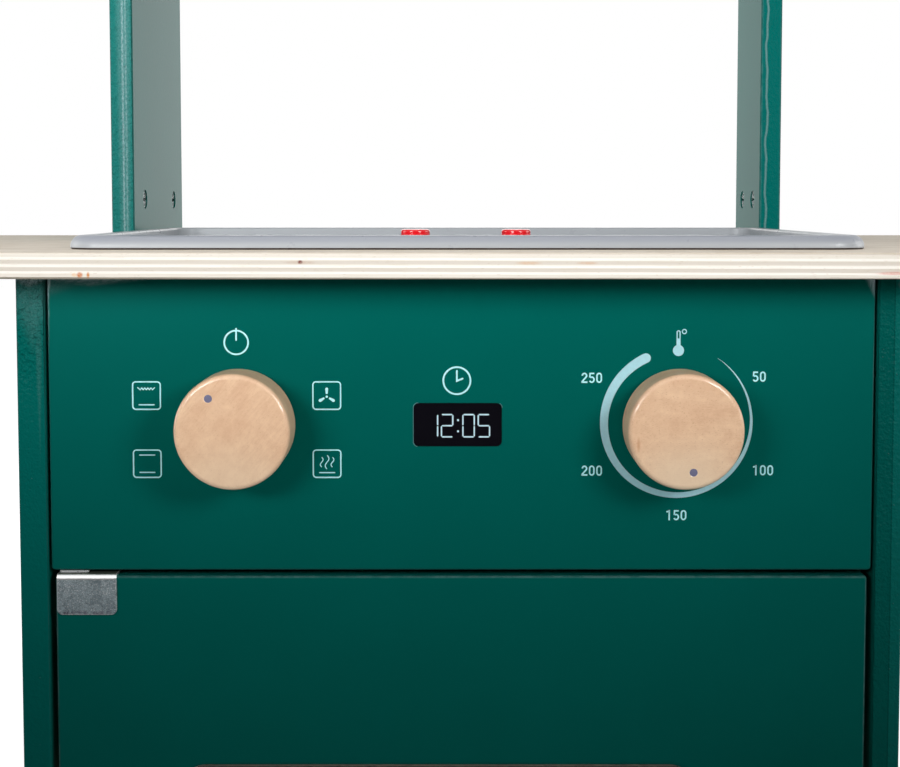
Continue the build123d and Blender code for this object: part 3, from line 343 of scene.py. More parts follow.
# Close-grained wood: clouds of shade, fine lines along the local X after the turn, and short flecks
def makeBeechGrain():
    group, given, place, result = newGroup("beechGrain", {
        "Turn": (0, 0, 0), "Light": (1, 1, 1, 1), "Dark": (0.5, 0.5, 0.5, 1),
        "Fleck": (0.4, 0.3, 0.2, 1), "Lines": 0.5, "Flecks": 0.5}, Color="Color", Height="Float")
    turn = {"Vector": place, "Rotation": given["Turn"]}
    turned = follow("VectorRotate", turn, rotation_type="EULER_XYZ")[0]
    sway = follow("CombineXYZ", {"Y": times(noise(turned, 35.0, 1.0), 0.004)})[0]
    swayed = vectors("ADD", turned, sway)
    lines = streaked(swayed, (130.0, 1700.0, 1700.0), 2.0, 0.55)
    broad = streaked(swayed, (55.0, 190.0, 190.0))
    clouds = noise(turned, 150.0, 3.0, 0.6, 0.6)
    mottle = noise(turned, 620.0, 3.0, 0.65)
    places = remap(noise(turned, 48.0, 1.0), 0.38, 0.62, 0.25, 1.0)
    flecks = streaked(turned, (1100.0, 3600.0, 3600.0), 1.0, 0.4)
    grain = times(times(remap(lines, 0.36, 0.66), places), given["Lines"])
    shade = plus(times(broad, 0.42), times(clouds, 0.58))
    spread = remap(shade, 0.30, 0.70, 0.0, 0.85, smooth=False)
    small = times(minus(mottle, 0.5), 0.55)
    blend = plus(plus(spread, small), times(grain, 0.35), clamp=True)
    body = mixColours(blend, given["Light"], given["Dark"])
    spot = times(remap(flecks, 0.60, 0.76), given["Flecks"])
    pale = times(remap(flecks, 0.40, 0.24), given["Flecks"])
    brighter = mixColours(times(pale, 0.5), body, tone(250, 224, 192))
    wire(result, Color=mixColours(spot, brighter, given["Fleck"]),
         Height=minus(times(lines, 0.6), times(spot, 0.5)))
    return group


# The glued sheets on a sawn edge, darker at the foot: (height as a share of the thickness, colour), from the
# foot up
pale, veneer, glue = (252, 247, 238), (234, 227, 215), (219, 210, 198)
plyStops = [
    (0.00, (60, 56, 46)), (0.03, (150, 142, 126)), (0.06, veneer), (0.12, veneer), (0.17, veneer),
    (0.195, pale), (0.26, pale), (0.285, glue), (0.41, glue), (0.435, pale), (0.515, pale),
    (0.54, veneer), (0.58, glue), (0.68, glue), (0.70, veneer), (0.73, pale), (0.79, pale),
    (0.82, veneer), (0.92, veneer), (0.96, glue), (1.00, (196, 184, 164)),
]


# Rough-sawn ends of glued sheets: bands through the thickness, from Low up along Z
def makePlyEdge():
    group, given, place, result = newGroup(
        "plyEdge", {"Low": 0.0, "Thickness": 0.01}, Color="Color", Height="Float")
    x = parts(place)["X"]
    shift = times(minus(noise(place, 25.0, 3.0), 0.5), 0.0003)
    level = plus(x.node.outputs["Z"], plus(shift, times(x, 0.0022)))
    up = maths("DIVIDE", minus(level, given["Low"]), given["Thickness"])
    ramp = follow("ValToRGB", {0: up})[0]
    elements = ramp.node.color_ramp.elements
    while len(elements) < len(plyStops):
        elements.new(0.5)
    for element, (share, colour) in zip(elements, plyStops):
        element.position = share
        element.color = tone(*colour)
    dashes = streaked(place, (60.0, 60.0, 1500.0), 3.0, 0.6)
    fibres = streaked(place, (700.0, 700.0, 3500.0), 2.0, 0.6)
    pores = streaked(place, (420.0, 420.0, 2600.0), 1.0)
    mixed = mixColours(times(remap(dashes, 0.50, 0.72), 0.22), ramp, tone(206, 190, 166))
    pitted = mixColours(times(remap(pores, 0.66, 0.78), 0.30), mixed, tone(176, 152, 122))
    # The edge is made darker towards its left end
    darkerLeftward = remap(x, -0.30, 0.15, 0.18, 0.0)
    wire(result, Color=mixColours(darkerLeftward, pitted, tone(0, 0, 0)),
         Height=plus(times(fibres, 0.5), times(dashes, 0.5)))
    return group


# Zinc plating: fine grains of different shade, brighter specks and a dull bloom
def makeZincSkin():
    group, given, place, result = newGroup("zincSkin", {
        "Bright": (0.6, 0.6, 0.6, 1), "Dull": (0.3, 0.3, 0.3, 1), "Grain": 1.0},
        Color="Color", Roughness="Float", Height="Float")
    scaled = vectors("SCALE", place)
    feed(given["Grain"], scaled.node.inputs["Scale"])
    bloom = noise(scaled, 160.0, 3.0, 0.6, 0.4)
    foot = remap(noise(scaled, 90.0, 1.0), 0.35, 0.65, 0.0, 0.06)
    specks = remap(plus(noise(scaled, 1900.0, 0.0), foot), 0.66, 0.72)
    small = plus(times(noise(scaled, 2200.0, 1.0, 0.6), 0.5), times(noise(scaled, 900.0, 2.0, 0.6), 0.25))
    mix = remap(plus(small, times(bloom, 0.25)), 0.36, 0.64)
    body = mixColours(mix, given["Dull"], given["Bright"])
    wire(result, Color=mixColours(times(specks, 0.85), body, tone(244, 248, 250)),
         Roughness=remap(bloom, 0.3, 0.7, 0.24, 0.36), Height=small)
    return group


# Moulded plastic: fine spark-eroded texture with faint flow marks
def makeMouldedSkin():
    group, given, place, result = newGroup(
        "mouldedSkin", {"Texture": 1800.0}, Height="Float", Shade="Float", Gloss="Float")
    wire(result, Height=noise(place, given["Texture"], 3.0, 0.6),
         Shade=streaked(place, (9.0, 24.0, 24.0), 4.0, 0.55), Gloss=noise(place, 160.0, 4.0, 0.6))
    return group


boxEdges = makeBoxEdges()
sprayCoat = makeSprayCoat()
stainAndHighlightPatch = makeStainAndHighlightPatch()
beechGrain = makeBeechGrain()
plyEdge = makePlyEdge()
zincSkin = makeZincSkin()
mouldedSkin = makeMouldedSkin()
print("shared effects made")


# A material, the sockets of its Principled shader and its object coordinates
def newFinish(name, **values):
    material = bpy.data.materials.new(name)
    material.use_nodes = True
    tree = material.node_tree
    tree.nodes.clear()
    shader = addNode(tree, "BsdfPrincipled")[0]
    addNode(tree, "OutputMaterial", {0: shader})
    wire(shader.node.inputs, **values)
    return material, shader.node.inputs, addNode(tree, "TexCoord")["Object"]


# The same for a finish that is to be changed
def reopen(material):
    nodes = material.node_tree.nodes
    return nodes["Principled BSDF"].inputs, nodes["Texture Coordinate"].outputs["Object"]


def sourceOf(socket):
    return socket.links[0].from_socket


def addBump(sockets, height, distance, strength=1.0):
    bump = follow("Bump", {"Height": height, "Strength": strength, "Distance": distance})
    wire(sockets, Normal=bump[0])


def shadeBy(colour, shade, amount):
    return mixColours(1.0, colour, remap(shade, 0.25, 0.75, 1 - amount, 1 + amount, smooth=False), "MULTIPLY")


def boxEdgesOf(node, place, reach):
    low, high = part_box(node)
    return placeGroup(boxEdges, place, Low=tuple(low), High=tuple(high), Reach=reach)["Mask"]


# A patch on a front face, for the painted highlights on the boards and the stains on the plywood: x, z, half
# width and half height in mm, and the face's y in metres
def frontPatch(place, face, x, z, halfWidth, halfHeight, streaks, **values):
    centre = (x * mm, face, z * mm)
    size = (halfWidth * mm, 0.02, halfHeight * mm)
    return placeGroup(stainAndHighlightPatch, place, Centre=centre, Size=size, Streaks=streaks, **values)["Mask"]


# How far a surface faces along an axis, from -1 to 1
def facing(place, axis):
    return vectors("DOT_PRODUCT", place.node.outputs["Normal"], axis)


# What the boards share; a board's own values are in boardLooks
paintLook = {
    "green": tone(0, 93, 85),
    "tint": tone(8, 100, 93),  # the rougher narrow faces
    # pale tone of the dust specks and of the painted highlights
    "dustAndHighlight": tone(196, 214, 222),
    "roughness": 0.34,
    "specular": 0.03,
    "gloss": tone(226, 240, 255),  # tint of the reflections
    "rimReach": 0.0010,
    "rim": 0.05,  # painted highlight on the rounded edges: how pale they are
    "peel": 0.0012,  # depth of the orange peel on the narrow faces, in metres
    "smoothBelow": None,  # heights between which the peel sets in
    "smoothPeel": 0.12,  # what is left of it below them
    "shadeChange": 0.03,
    "speckTone": 0.30,
    "front": -0.1375,  # where the face with the painted highlight patches lies
    "highlightPatches": [],  # painted highlight patches: x, z, half width and half height in mm, streaks, strength
    "lap": False,
    "run": False,
}
boardLooks = {
    # Each board's highlightPatches are painted highlights and sheen where the light catches its corners and
    # edges
    "control_panel": {"rim": 0.04, "highlightPatches": [
        (-154.0, 429.5, 46.0, 5.0, (420, 420, 1400), 0.45),
        (-170.0, 429.0, 24.0, 9.0, (1900, 1900, 1900), 0.10),
        (-172.0, 429.0, 3.0, 18.0, (700, 700, 300), 0.75),
        (-172.2, 415.0, 1.8, 50.0, (700, 700, 400), 0.25),
        (172.2, 429.0, 6.2, 11.5, (3400, 3400, 300), 0.85),
        (172.0, 390.0, 1.1, 90.0, (900, 900, 500), 0.15)]},
    "left_side_panel": {"rim": 0.06, "rimReach": 0.0008, "tint": tone(0, 96, 89), "peel": 0.0036,
                        "smoothBelow": (0.375, 0.407), "highlightPatches": [
        (-179.0, 429.5, 16.0, 6.0, (2200, 2200, 2200), 0.60),
        (-178.0, 425.0, 14.0, 32.0, (2600, 2600, 2200), 0.08),
        (-175.6, 400.0, 1.8, 60.0, (2600, 2600, 1500), 0.04)]},
    "right_side_panel": {"rimReach": 0.0005, "tint": tone(0, 86, 79), "lap": True, "highlightPatches": [
        (185.0, 426.0, 4.6, 10.0, (2800, 2800, 1600), 0.45)]},
    "door_panel": {"rim": 0.20, "rimReach": 0.0012, "tint": tone(0, 93, 85)},
    # The left post's paler tint on its narrow faces, and its streaks, are painted sheen
    "left_post": {"rim": 0.07, "tint": tone(24, 105, 99), "specular": 0.059, "gloss": tone(219, 234, 255),
                  "peel": 0.0022, "front": 0.03, "highlightPatches": [
        (-177.6, 560.0, 5.2, 500.0, (1800, 1800, 900), 0.10),
        (-178.2, 560.0, 1.0, 900.0, (2200, 2200, 500), 0.35),
        (-176.6, 560.0, 1.0, 900.0, (2200, 2200, 500), 0.25)]},
    "right_post": {"rim": 0.10, "rimReach": 0.0016, "tint": tone(0, 101, 95), "gloss": tone(216, 228, 250),
                   "peel": 0.0006, "run": True},
    "top_shelf": {"specular": 0.0},
}
lapLook = {"x": 0.1799, "step": 0.0004, "lift": 0.9, "reach": 0.0005, "strength": 0.35,
           "dark": tone(0, 40, 36)}
runLook = {"x": 0.1764, "swing": 0.0044, "width": 0.0010, "strength": 0.22, "pitch": 52.0, "depth": 0.004}


# Green paint on a board; thin is the axis through the board, whose narrow faces are rougher. Pale painted
# highlights lie along its rounded edges and in patches
def paintedBoard(node, thin):
    look = {**paintLook, **boardLooks.get(node, {})}
    material, sockets, place = newFinish("greenPaint." + node, Roughness=look["roughness"],
                                         Specular_IOR_Level=look["specular"], Specular_Tint=look["gloss"])
    narrow = remap(maths("ABSOLUTE", facing(place, thin)), 0.5, 0.8, 1.0, 0.0)
    coat = placeGroup(sprayCoat, place, Peel=remap(narrow, 0, 1, 0.03, 1.0),
                      Specks=remap(narrow, 0, 1, 0.02, 0.25))
    patchy = remap(noise(place, 180.0, 3.0, 0.65), 0.36, 0.64, 0.35, 1.0)
    # Painted highlight: pale along the rounded edges and in patches
    paintedLight = times(times(boxEdgesOf(node, place, look["rimReach"]), patchy), look["rim"])
    for *where, strength in look["highlightPatches"]:
        paintedLight = larger(paintedLight, times(frontPatch(place, look["front"], *where), strength))
    # The run of paint joins the painted highlights and takes their pale tone
    if look["run"]:
        paintedLight = larger(paintedLight, paintRun(node, place, runLook))
    body = mixColours(narrow, look["green"], look["tint"])
    if look["lap"]:
        body = lapLine(place, body, lapLook)
    shaded = shadeBy(body, coat["Shade"], look["shadeChange"])
    specked = mixColours(times(coat["Speck"], look["speckTone"]), shaded, look["dustAndHighlight"])
    height = coat["Height"]
    if look["smoothBelow"]:
        rough = remap(parts(place)["Z"], *look["smoothBelow"], look["smoothPeel"], 1.0)
        height = times(minus(height, 0.5), rough)
    wire(sockets, Base_Color=mixColours(paintedLight, specked, look["dustAndHighlight"]))
    addBump(sockets, height, look["peel"])
    return material


# A faint dark line down a board's front edge, where two coats overlap and the outer one is brighter
def lapLine(place, colour, look):
    across = parts(place)["X"]
    outer = remap(across, look["x"], look["x"] + look["step"])
    lifted = mixColours(times(outer, look["lift"]), colour, paintLook["tint"])
    away = maths("ABSOLUTE", minus(across, look["x"]))
    return mixColours(remap(away, 0.0, look["reach"], look["strength"], 0.0), lifted, look["dark"])


# A run of thicker paint that wanders down the front edge of a post
def paintRun(node, place, look):
    x, y, z = parts(place)
    track = follow("CombineXYZ", {"Z": z})[0]
    sway = minus(noise(track, look["pitch"], 2.0), 0.5)
    middle = plus(times(sway, look["swing"]), look["x"])
    run = remap(maths("ABSOLUTE", minus(x, middle)), 0.0, look["width"], 1.0, 0.0)
    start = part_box(node)[0].y
    front = remap(y, start, start + look["depth"], 1.0, 0.0)
    return times(times(run, front), look["strength"])


rawBoardLook = {"light": tone(196, 168, 132), "dark": tone(150, 118, 84), "spot": tone(112, 82, 54)}


# Bare fibreboard: pressed fibres of several browns
def rawBoard(look):
    material, sockets, place = newFinish("bareBoard", Roughness=0.85, Specular_IOR_Level=0.2)
    fibres = streaked(place, (900.0, 900.0, 900.0), 4.0, 0.7)
    amount = plus(times(fibres, 0.8), times(noise(place, 40.0, 3.0), 0.3), clamp=True)
    spots = remap(cells(place, 700.0), 0.0, 0.25, 1.0, 0.0)
    body = mixColours(amount, look["light"], look["dark"])
    wire(sockets, Base_Color=mixColours(times(spots, 0.3), body, look["spot"]))
    addBump(sockets, fibres, 0.00012, 0.6)
    return material


sapwood = tone(255, 232, 200)
beechLook = {
    "light": tone(251, 213, 176),
    "dark": tone(229, 183, 147),
    "fleck": tone(200, 150, 112),
    "roughness": 0.42,
    "specular": 0.3,
    "lacquer": 1.0,
    "lacquerRoughness": 0.10,
    # Turn of the grain in degrees, lines, flecks, and patches as (centre, size, strength, tone)
    "rails": ((0, 0, 0), 0.6, 0.45, []),
    "handle": ((0, 90, 0), 0.6, 0.5, []),
    "rackRails": ((0, 0, 90), 0.6, 0.5, []),
    "leftDial": ((0, 50, 0), 0.6, 0.35, [((-0.0926, -0.158, 0.3440), (0.034, 0.2, 0.024), 0.35, sapwood)]),
    "rightDial": ((0, 0, 0), 0.4, 0.55, [
        ((0.0906, -0.158, 0.3420), (0.034, 0.2, 0.028), 0.6, sapwood),
        ((0.0712, -0.156, 0.3625), (0.0012, 0.004, 0.0055), 0.75, tone(196, 116, 56))]),
}


# Beech, lacquered on the faces turned to the front
def beech(name, look):
    turn, lines, flecks, patches = look[name]
    material, sockets, place = newFinish("beech." + name, Roughness=look["roughness"],
                                         Specular_IOR_Level=look["specular"],
                                         Coat_Roughness=look["lacquerRoughness"])
    lacquer = remap(facing(place, (0, -1, 0)), 0.05, 0.35, 0.2, look["lacquer"])
    wood = placeGroup(beechGrain, place, Turn=[radians(a) for a in turn], Light=look["light"],
                      Dark=look["dark"], Fleck=look["fleck"], Lines=lines, Flecks=flecks)
    colour = wood["Color"]
    for centre, size, strength, stain in patches:
        spread = vectors("LENGTH", vectors("DIVIDE", vectors("SUBTRACT", place, centre), size))
        colour = mixColours(remap(spread, 0.2, 1.0, strength, 0.0), colour, stain)
    wire(sockets, Base_Color=colour, Coat_Weight=lacquer)
    addBump(sockets, wood["Height"], 0.00005, 0.5)
    return material


plyLook = {
    "light": tone(232, 223, 209),
    "dark": tone(206, 192, 174),
    "fleck": tone(192, 168, 138),
    "roughness": 0.58,
    "specular": 0.16,
    # Knots and stains on the front edge: x, z, half length, half height in mm, colour, strength
    "stains": [
        (-151.4, 431.2, 1.6, 1.5, tone(196, 104, 0), 0.95),
        (-148.1, 431.1, 0.8, 1.7, tone(200, 120, 20), 0.9),
        (-153.6, 431.2, 1.4, 1.0, tone(226, 180, 120), 0.6),
        (-64.0, 436.2, 8.0, 0.9, tone(190, 166, 148), 0.6),
        (-64.0, 436.3, 1.3, 1.0, tone(112, 50, 40), 1.0),
        (26.5, 435.9, 6.5, 0.8, tone(214, 172, 134), 0.6),
        (49.8, 435.9, 5.5, 0.7, tone(210, 168, 132), 0.6),
        (172.0, 431.8, 10.0, 0.9, tone(216, 138, 118), 0.65),
    ],
}


# Birch plywood: long pale grain on the faces and glued layers on the edges
def plywood(node, look):
    material, sockets, place = newFinish("birchPly", Roughness=look["roughness"],
                                         Specular_IOR_Level=look["specular"])
    low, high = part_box(node)
    flat = remap(maths("ABSOLUTE", parts(place.node.outputs["Normal"])["Z"]), 0.5, 0.8)
    stretched = vectors("MULTIPLY", place, (0.3, 0.3, 0.3))
    face = placeGroup(beechGrain, stretched, Light=look["light"], Dark=look["dark"], Fleck=look["fleck"],
                      Lines=0.8, Flecks=0.15)
    edge = placeGroup(plyEdge, place, Low=low.z, Thickness=high.z - low.z)
    colour = mixColours(flat, edge["Color"], face["Color"])
    for *where, stain, strength in look["stains"]:
        mask = frontPatch(place, low.y, *where, (900, 900, 1400), Broken=0.3, Wedge=0.0)
        colour = mixColours(times(mask, strength), colour, stain)
    wire(sockets, Base_Color=colour)
    addBump(sockets, mixValues(flat, edge["Height"], face["Height"]), 0.00008, 0.5)
    return material


zincLook = {"bright": tone(196, 212, 218), "dull": tone(134, 152, 160), "metallic": 0.5}


def zincSteel(name, grain=1.0, bright=zincLook["bright"], dull=zincLook["dull"]):
    material, sockets, place = newFinish(name, Metallic=zincLook["metallic"])
    skin = placeGroup(zincSkin, place, Bright=bright, Dull=dull, Grain=grain)
    wire(sockets, Base_Color=skin["Color"], Roughness=skin["Roughness"])
    addBump(sockets, skin["Height"], 0.000012, 0.5)
    return material


# Lengths in metres, measured away from the fold
clipLook = {
    "foldHighlight": (0.0002, 0.0023),  # the band of painted highlight
    "foldHighlightTone": tone(254, 254, 254),
    "foldRoughness": 0.42,
    # painted shadow on the narrow ledge just past the fold
    "ledgeShadeTone": tone(112, 118, 108),
    "foot": 0.0026,
    "footTone": tone(104, 98, 118),
    "rimReach": 0.0006,
    "rim": 0.6,
}


# A folded zinc clip: painted highlight along the fold and the cut edges, painted shadow on the narrow ledge
# past the fold, stained along its foot
def foldedClip(node, foldOnTop, look):
    material = zincSteel("foldedZinc." + node)
    sockets, place = reopen(material)
    low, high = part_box(node)
    height = high.z - low.z
    start, end = look["foldHighlight"]
    up = parts(place)["Z"]
    away = minus(high.z, up) if foldOnTop else minus(up, low.z)
    # Painted highlight along the fold
    foldHighlight = times(remap(away, end - 0.0002, end + 0.0003, 1.0, 0.0), remap(away, start, start + 0.0002))
    # Painted shadow on the narrow ledge past the fold
    ledgeShade = remap(away, start, start + 0.0001, 1.0, 0.0)
    foot = remap(away, height - look["foot"], height - 0.0004, 0.0, 0.8)
    stain = times(foot, remap(noise(place, 420.0, 3.0), 0.40, 0.60))
    pale = larger(foldHighlight, times(boxEdgesOf(node, place, look["rimReach"]), look["rim"]))
    stained = mixColours(stain, sourceOf(sockets["Base Color"]), look["footTone"])
    edged = mixColours(ledgeShade, stained, look["ledgeShadeTone"])
    wire(sockets, Base_Color=mixColours(pale, edged, look["foldHighlightTone"]),
         Roughness=mixValues(foldHighlight, sourceOf(sockets["Roughness"]), look["foldRoughness"]),
         Metallic=remap(foldHighlight, 0.0, 1.0, zincLook["metallic"], 1.0, smooth=False))
    return material


def plastic(name, colour, roughness, texture, bump, specular=0.5, shadeAmount=0.03):
    material, sockets, place = newFinish(name, Specular_IOR_Level=specular)
    skin = placeGroup(mouldedSkin, place, Texture=texture)
    wire(sockets, Base_Color=shadeBy(colour, skin["Shade"], shadeAmount),
         Roughness=remap(skin["Gloss"], 0.3, 0.7, roughness - 0.05, roughness + 0.05))
    addBump(sockets, skin["Height"], bump, 0.5)
    return material


smallLooks = {
    "acrylic": (0.93, 0.97, 0.96, 1),
    "brass": (tone(224, 190, 116), tone(176, 138, 72)),  # polished, stained
    "felt": (tone(42, 66, 60), tone(112, 134, 126)),
    "circuit": (tone(24, 104, 52), tone(18, 92, 46), tone(46, 140, 74)),  # two greens, tracks
    "battery": (tone(34, 38, 44), tone(184, 122, 62)),  # the film and its band
    "bandStart": 0.66,  # along the cells
}


# Clear sheet with a little dust and hair scratches in the gloss
def acrylic(look):
    material, sockets, place = newFinish("clearAcrylic", Transmission_Weight=1.0, IOR=1.49,
                                         Base_Color=look["acrylic"])
    hairs = streaked(place, (40.0, 40.0, 900.0))
    dust = remap(noise(place, 900.0, 2.0), 0.62, 0.75)
    gloss = plus(times(remap(hairs, 0.6, 0.8), 0.06), 0.02)
    wire(sockets, Roughness=plus(gloss, times(dust, 0.05)))
    return material


# Turned brass with fine rings round its axis
def brass(look):
    material, sockets, place = newFinish("turnedBrass", Metallic=1.0)
    fine = streaked(place, (300.0, 3000.0, 300.0))
    wire(sockets, Base_Color=mixColours(noise(place, 240.0, 3.0), *look["brass"]),
         Roughness=remap(fine, 0.3, 0.7, 0.22, 0.38))
    addBump(sockets, fine, 0.00003, 0.4)
    return material


def felt(look):
    material, sockets, place = newFinish("pressedFelt", Roughness=0.95, Sheen_Weight=0.3)
    hairs = noise(place, 2600.0, 4.0, 0.7)
    wire(sockets, Base_Color=mixColours(hairs, *look["felt"]))
    addBump(sockets, hairs, 0.00025, 0.9)
    return material


# A slight haze in the shade and the gloss of a smooth surface
def addHaze(sockets, place, colour, scale, amount):
    haze = noise(place, scale, 3.0)
    wire(sockets, Base_Color=shadeBy(colour, haze, amount), Roughness=remap(haze, 0.3, 0.7, 0.25, 0.4))


# Printed circuit: green mask over copper tracks laid on a grid
def circuit(look):
    material, sockets, place = newFinish("circuitGreen")
    first, second, track = look["circuit"]
    squares = follow("TexBrick", {"Vector": place, "Scale": 220.0, "Mortar Size": 0.05, "Color1": first,
                                  "Color2": second, "Mortar": track})
    addHaze(sockets, place, squares["Color"], 300.0, 0.08)
    addBump(sockets, squares["Fac"], 0.00003, 0.6)
    return material


# Dry cells: steel can with a wrap of plain film, paler at one end
def batteryWrap(node, look):
    material, sockets, place = newFinish("batteryWrap")
    low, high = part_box(node)
    along = remap(parts(place)["Y"], low.y, high.y, smooth=False)
    film = mixColours(remap(along, look["bandStart"], look["bandStart"] + 0.02), *look["battery"])
    addHaze(sockets, place, film, 400.0, 0.06)
    return material


# Opaque printing ink, slightly uneven over the paint's peel
def ink(name, colour):
    material, sockets, place = newFinish(name, Roughness=0.5, Specular_IOR_Level=0.15)
    uneven = noise(place, 700.0, 3.0, 0.6)
    wire(sockets, Base_Color=shadeBy(colour, uneven, 0.05))
    addBump(sockets, uneven, 0.00003, 0.4)
    return material


hobLook = {
    "grey": tone(158, 162, 166),
    "upper": tone(138, 142, 151),  # painted shade: the rim and the top of the wall made duller
    "upperDepth": (0.008, 0.02),  # metres behind the front between which the painted shade ends
    "footShadow": tone(52, 42, 36),  # painted shadow: the thin dark line along the foot
    "footShadowTop": 0.0009,  # metres above the foot
    "roughness": 0.32,
    "specular": 0.3,
}


def greyPlastic(name, look):
    return plastic(name, look["grey"], look["roughness"], 2200.0, 0.00002, look["specular"])


# Grey plastic of the hob, with a painted shadow line along its foot and painted shade on its rim and the top
# of its wall
def hobPlastic(look):
    material = greyPlastic("greyHobTray", look)
    sockets, place = reopen(material)
    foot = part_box("worktop")[1].z
    low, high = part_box("hob_tray")
    up = parts(place)["Z"]
    # Painted shade: the rim and the top of the wall made duller
    near, far = look["upperDepth"]
    nearer = remap(parts(place)["Y"], low.y + near, low.y + far, 1.0, 0.0)
    upper = times(remap(up, foot + 0.0015, high.z - 0.0005), nearer)
    # Painted shadow along the foot
    footShadow = remap(up, foot + look["footShadowTop"] * 0.7, foot + look["footShadowTop"], 1.0, 0.0)
    paintedLight = mixColours(upper, sourceOf(sockets["Base Color"]), look["upper"])
    wire(sockets, Base_Color=mixColours(footShadow, paintedLight, look["footShadow"]))
    return material


# The axis through each painted board
axisX, axisY, axisZ = (1, 0, 0), (0, 1, 0), (0, 0, 1)
thinAxis = {
    "left_side_panel": axisX, "right_side_panel": axisX, "base_panel": axisZ, "oven_ceiling": axisZ,
    "plinth_board": axisY, "control_panel": axisY, "left_post": axisX, "right_post": axisX,
    "top_shelf": axisZ, "door_panel": axisY,
}
slotFinishes = {
    "raw_board": rawBoard(rawBoardLook),
    "plywood": plywood("worktop", plyLook),
    "beech": beech("rails", beechLook),
    "grey_plastic": greyPlastic("greyPlastic", hobLook),
    "red_plastic": plastic("redButton", tone(206, 10, 22), 0.13, 900.0, 0.000005, 0.6),
    "dark_plastic": plastic("darkFace", tone(14, 13, 19), 0.2, 900.0, 0.00001, 0.12, 0.1),
    "white_plastic": plastic("whiteNylon", tone(226, 226, 220), 0.5, 1500.0, 0.00004),
    "acrylic": acrylic(smallLooks),
    "zinc_steel": zincSteel("zincSteel"),
    "cast_zinc": zincSteel("castZinc", 0.8, tone(164, 176, 172), tone(96, 112, 108)),
    "brass": brass(smallLooks),
    "magnet_steel": zincSteel("groundMagnet", 1.4, tone(150, 150, 154), tone(86, 86, 92)),
    "felt": felt(smallLooks),
    "circuit_green": circuit(smallLooks),
}
nodeFinishes = {
    **{node: paintedBoard(node, axis) for node, axis in thinAxis.items()},
    "hob_tray": hobPlastic(hobLook),
    "upper_clip": foldedClip("upper_clip", True, clipLook),
    "lower_clip": foldedClip("lower_clip", False, clipLook),
    "left_dial": beech("leftDial", beechLook),
    "right_dial": beech("rightDial", beechLook),
    "handle_bar": beech("handle", beechLook),
    "rack_rails": beech("rackRails", beechLook),
    "battery_cells": batteryWrap("battery_cells", smallLooks),
    # The cam locks are dark green zinc: painted shade of their recesses and painted reflection of the green
    # posts
    "cam_locks": zincSteel("shadedCams", 0.8, tone(34, 84, 78), tone(12, 44, 40)),
    # The pivot plates are near-white zinc as painted highlight
    "pivot_plates": zincSteel("plateHighlightZinc", 0.8, tone(254, 254, 254), tone(232, 238, 242)),
}


def dressNodes():
    for name, thing in cadNodes.items():
        thing.data.materials.clear()
        thing.data.materials.append(nodeFinishes.get(name) or slotFinishes[slotOf[name]])


dressNodes()
print("frame dressed")

inkDepth = 0.04  # mm
arcStep = 6.0  # degrees
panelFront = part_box("control_panel")[0].y / mm
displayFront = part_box("display_plate")[0].y / mm
leftDialX, dialZ = [sum(c) / 2 / mm for c in zip(*[(p.x, p.z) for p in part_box("left_dial")])]
rightDialX = sum(p.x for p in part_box("right_dial")) / 2 / mm


# A mesh object from a bmesh whose points are in mm, riding on a body
def addPiece(name, form, finish, body):
    bmesh.ops.recalc_face_normals(form, faces=form.faces)
    bmesh.ops.scale(form, vec=(mm, mm, mm), verts=form.verts)
    mesh = bpy.data.meshes.new(name)
    form.to_mesh(mesh)
    form.free()
    piece = addObject(name, mesh)
    mesh.materials.append(finish)
    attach(piece, body)


def addPrint(name, form, finish):
    addPiece(name, form, finish, "carcass")


# Points (x, z) of an arc; angles in degrees run clockwise from straight up
def arc(x, z, radiusX, start, end, radiusZ=None):
    steps = max(2, ceil(abs(end - start) / arcStep))
    angles = [radians(start + (end - start) * i / steps) for i in range(steps + 1)]
    return [(x + radiusX * sin(a), z + (radiusZ or radiusX) * cos(a)) for a in angles]


def ring(x, z, radius):
    return arc(x, z, radius, 0, 360)[:-1]


def roundedBox(x, z, width, height, corner):
    w = width / 2 - corner
    h = height / 2 - corner
    quarters = [(w, h, 0), (w, -h, 90), (-w, -h, 180), (-w, h, 270)]
    return [p for dx, dz, a in quarters for p in arc(x + dx, z + dz, corner, a, a + 90)]


def unitNormal(a, b):
    dx, dz = b[0] - a[0], b[1] - a[1]
    length = hypot(dx, dz)
    return (-dz / length, dx / length) if length > 1e-9 else None


# Narrowing points past the end of a stroke, with their widths
def roundCap(end, inner, width):
    (x, z), (innerX, innerZ) = end, inner
    length = hypot(x - innerX, z - innerZ)
    dx, dz = (x - innerX) / length, (z - innerZ) / length
    turns = [radians(a) for a in (20, 40, 58, 74, 86)]
    return [((x + dx * sin(a) * width / 2, z + dz * sin(a) * width / 2), width * cos(a)) for a in turns]


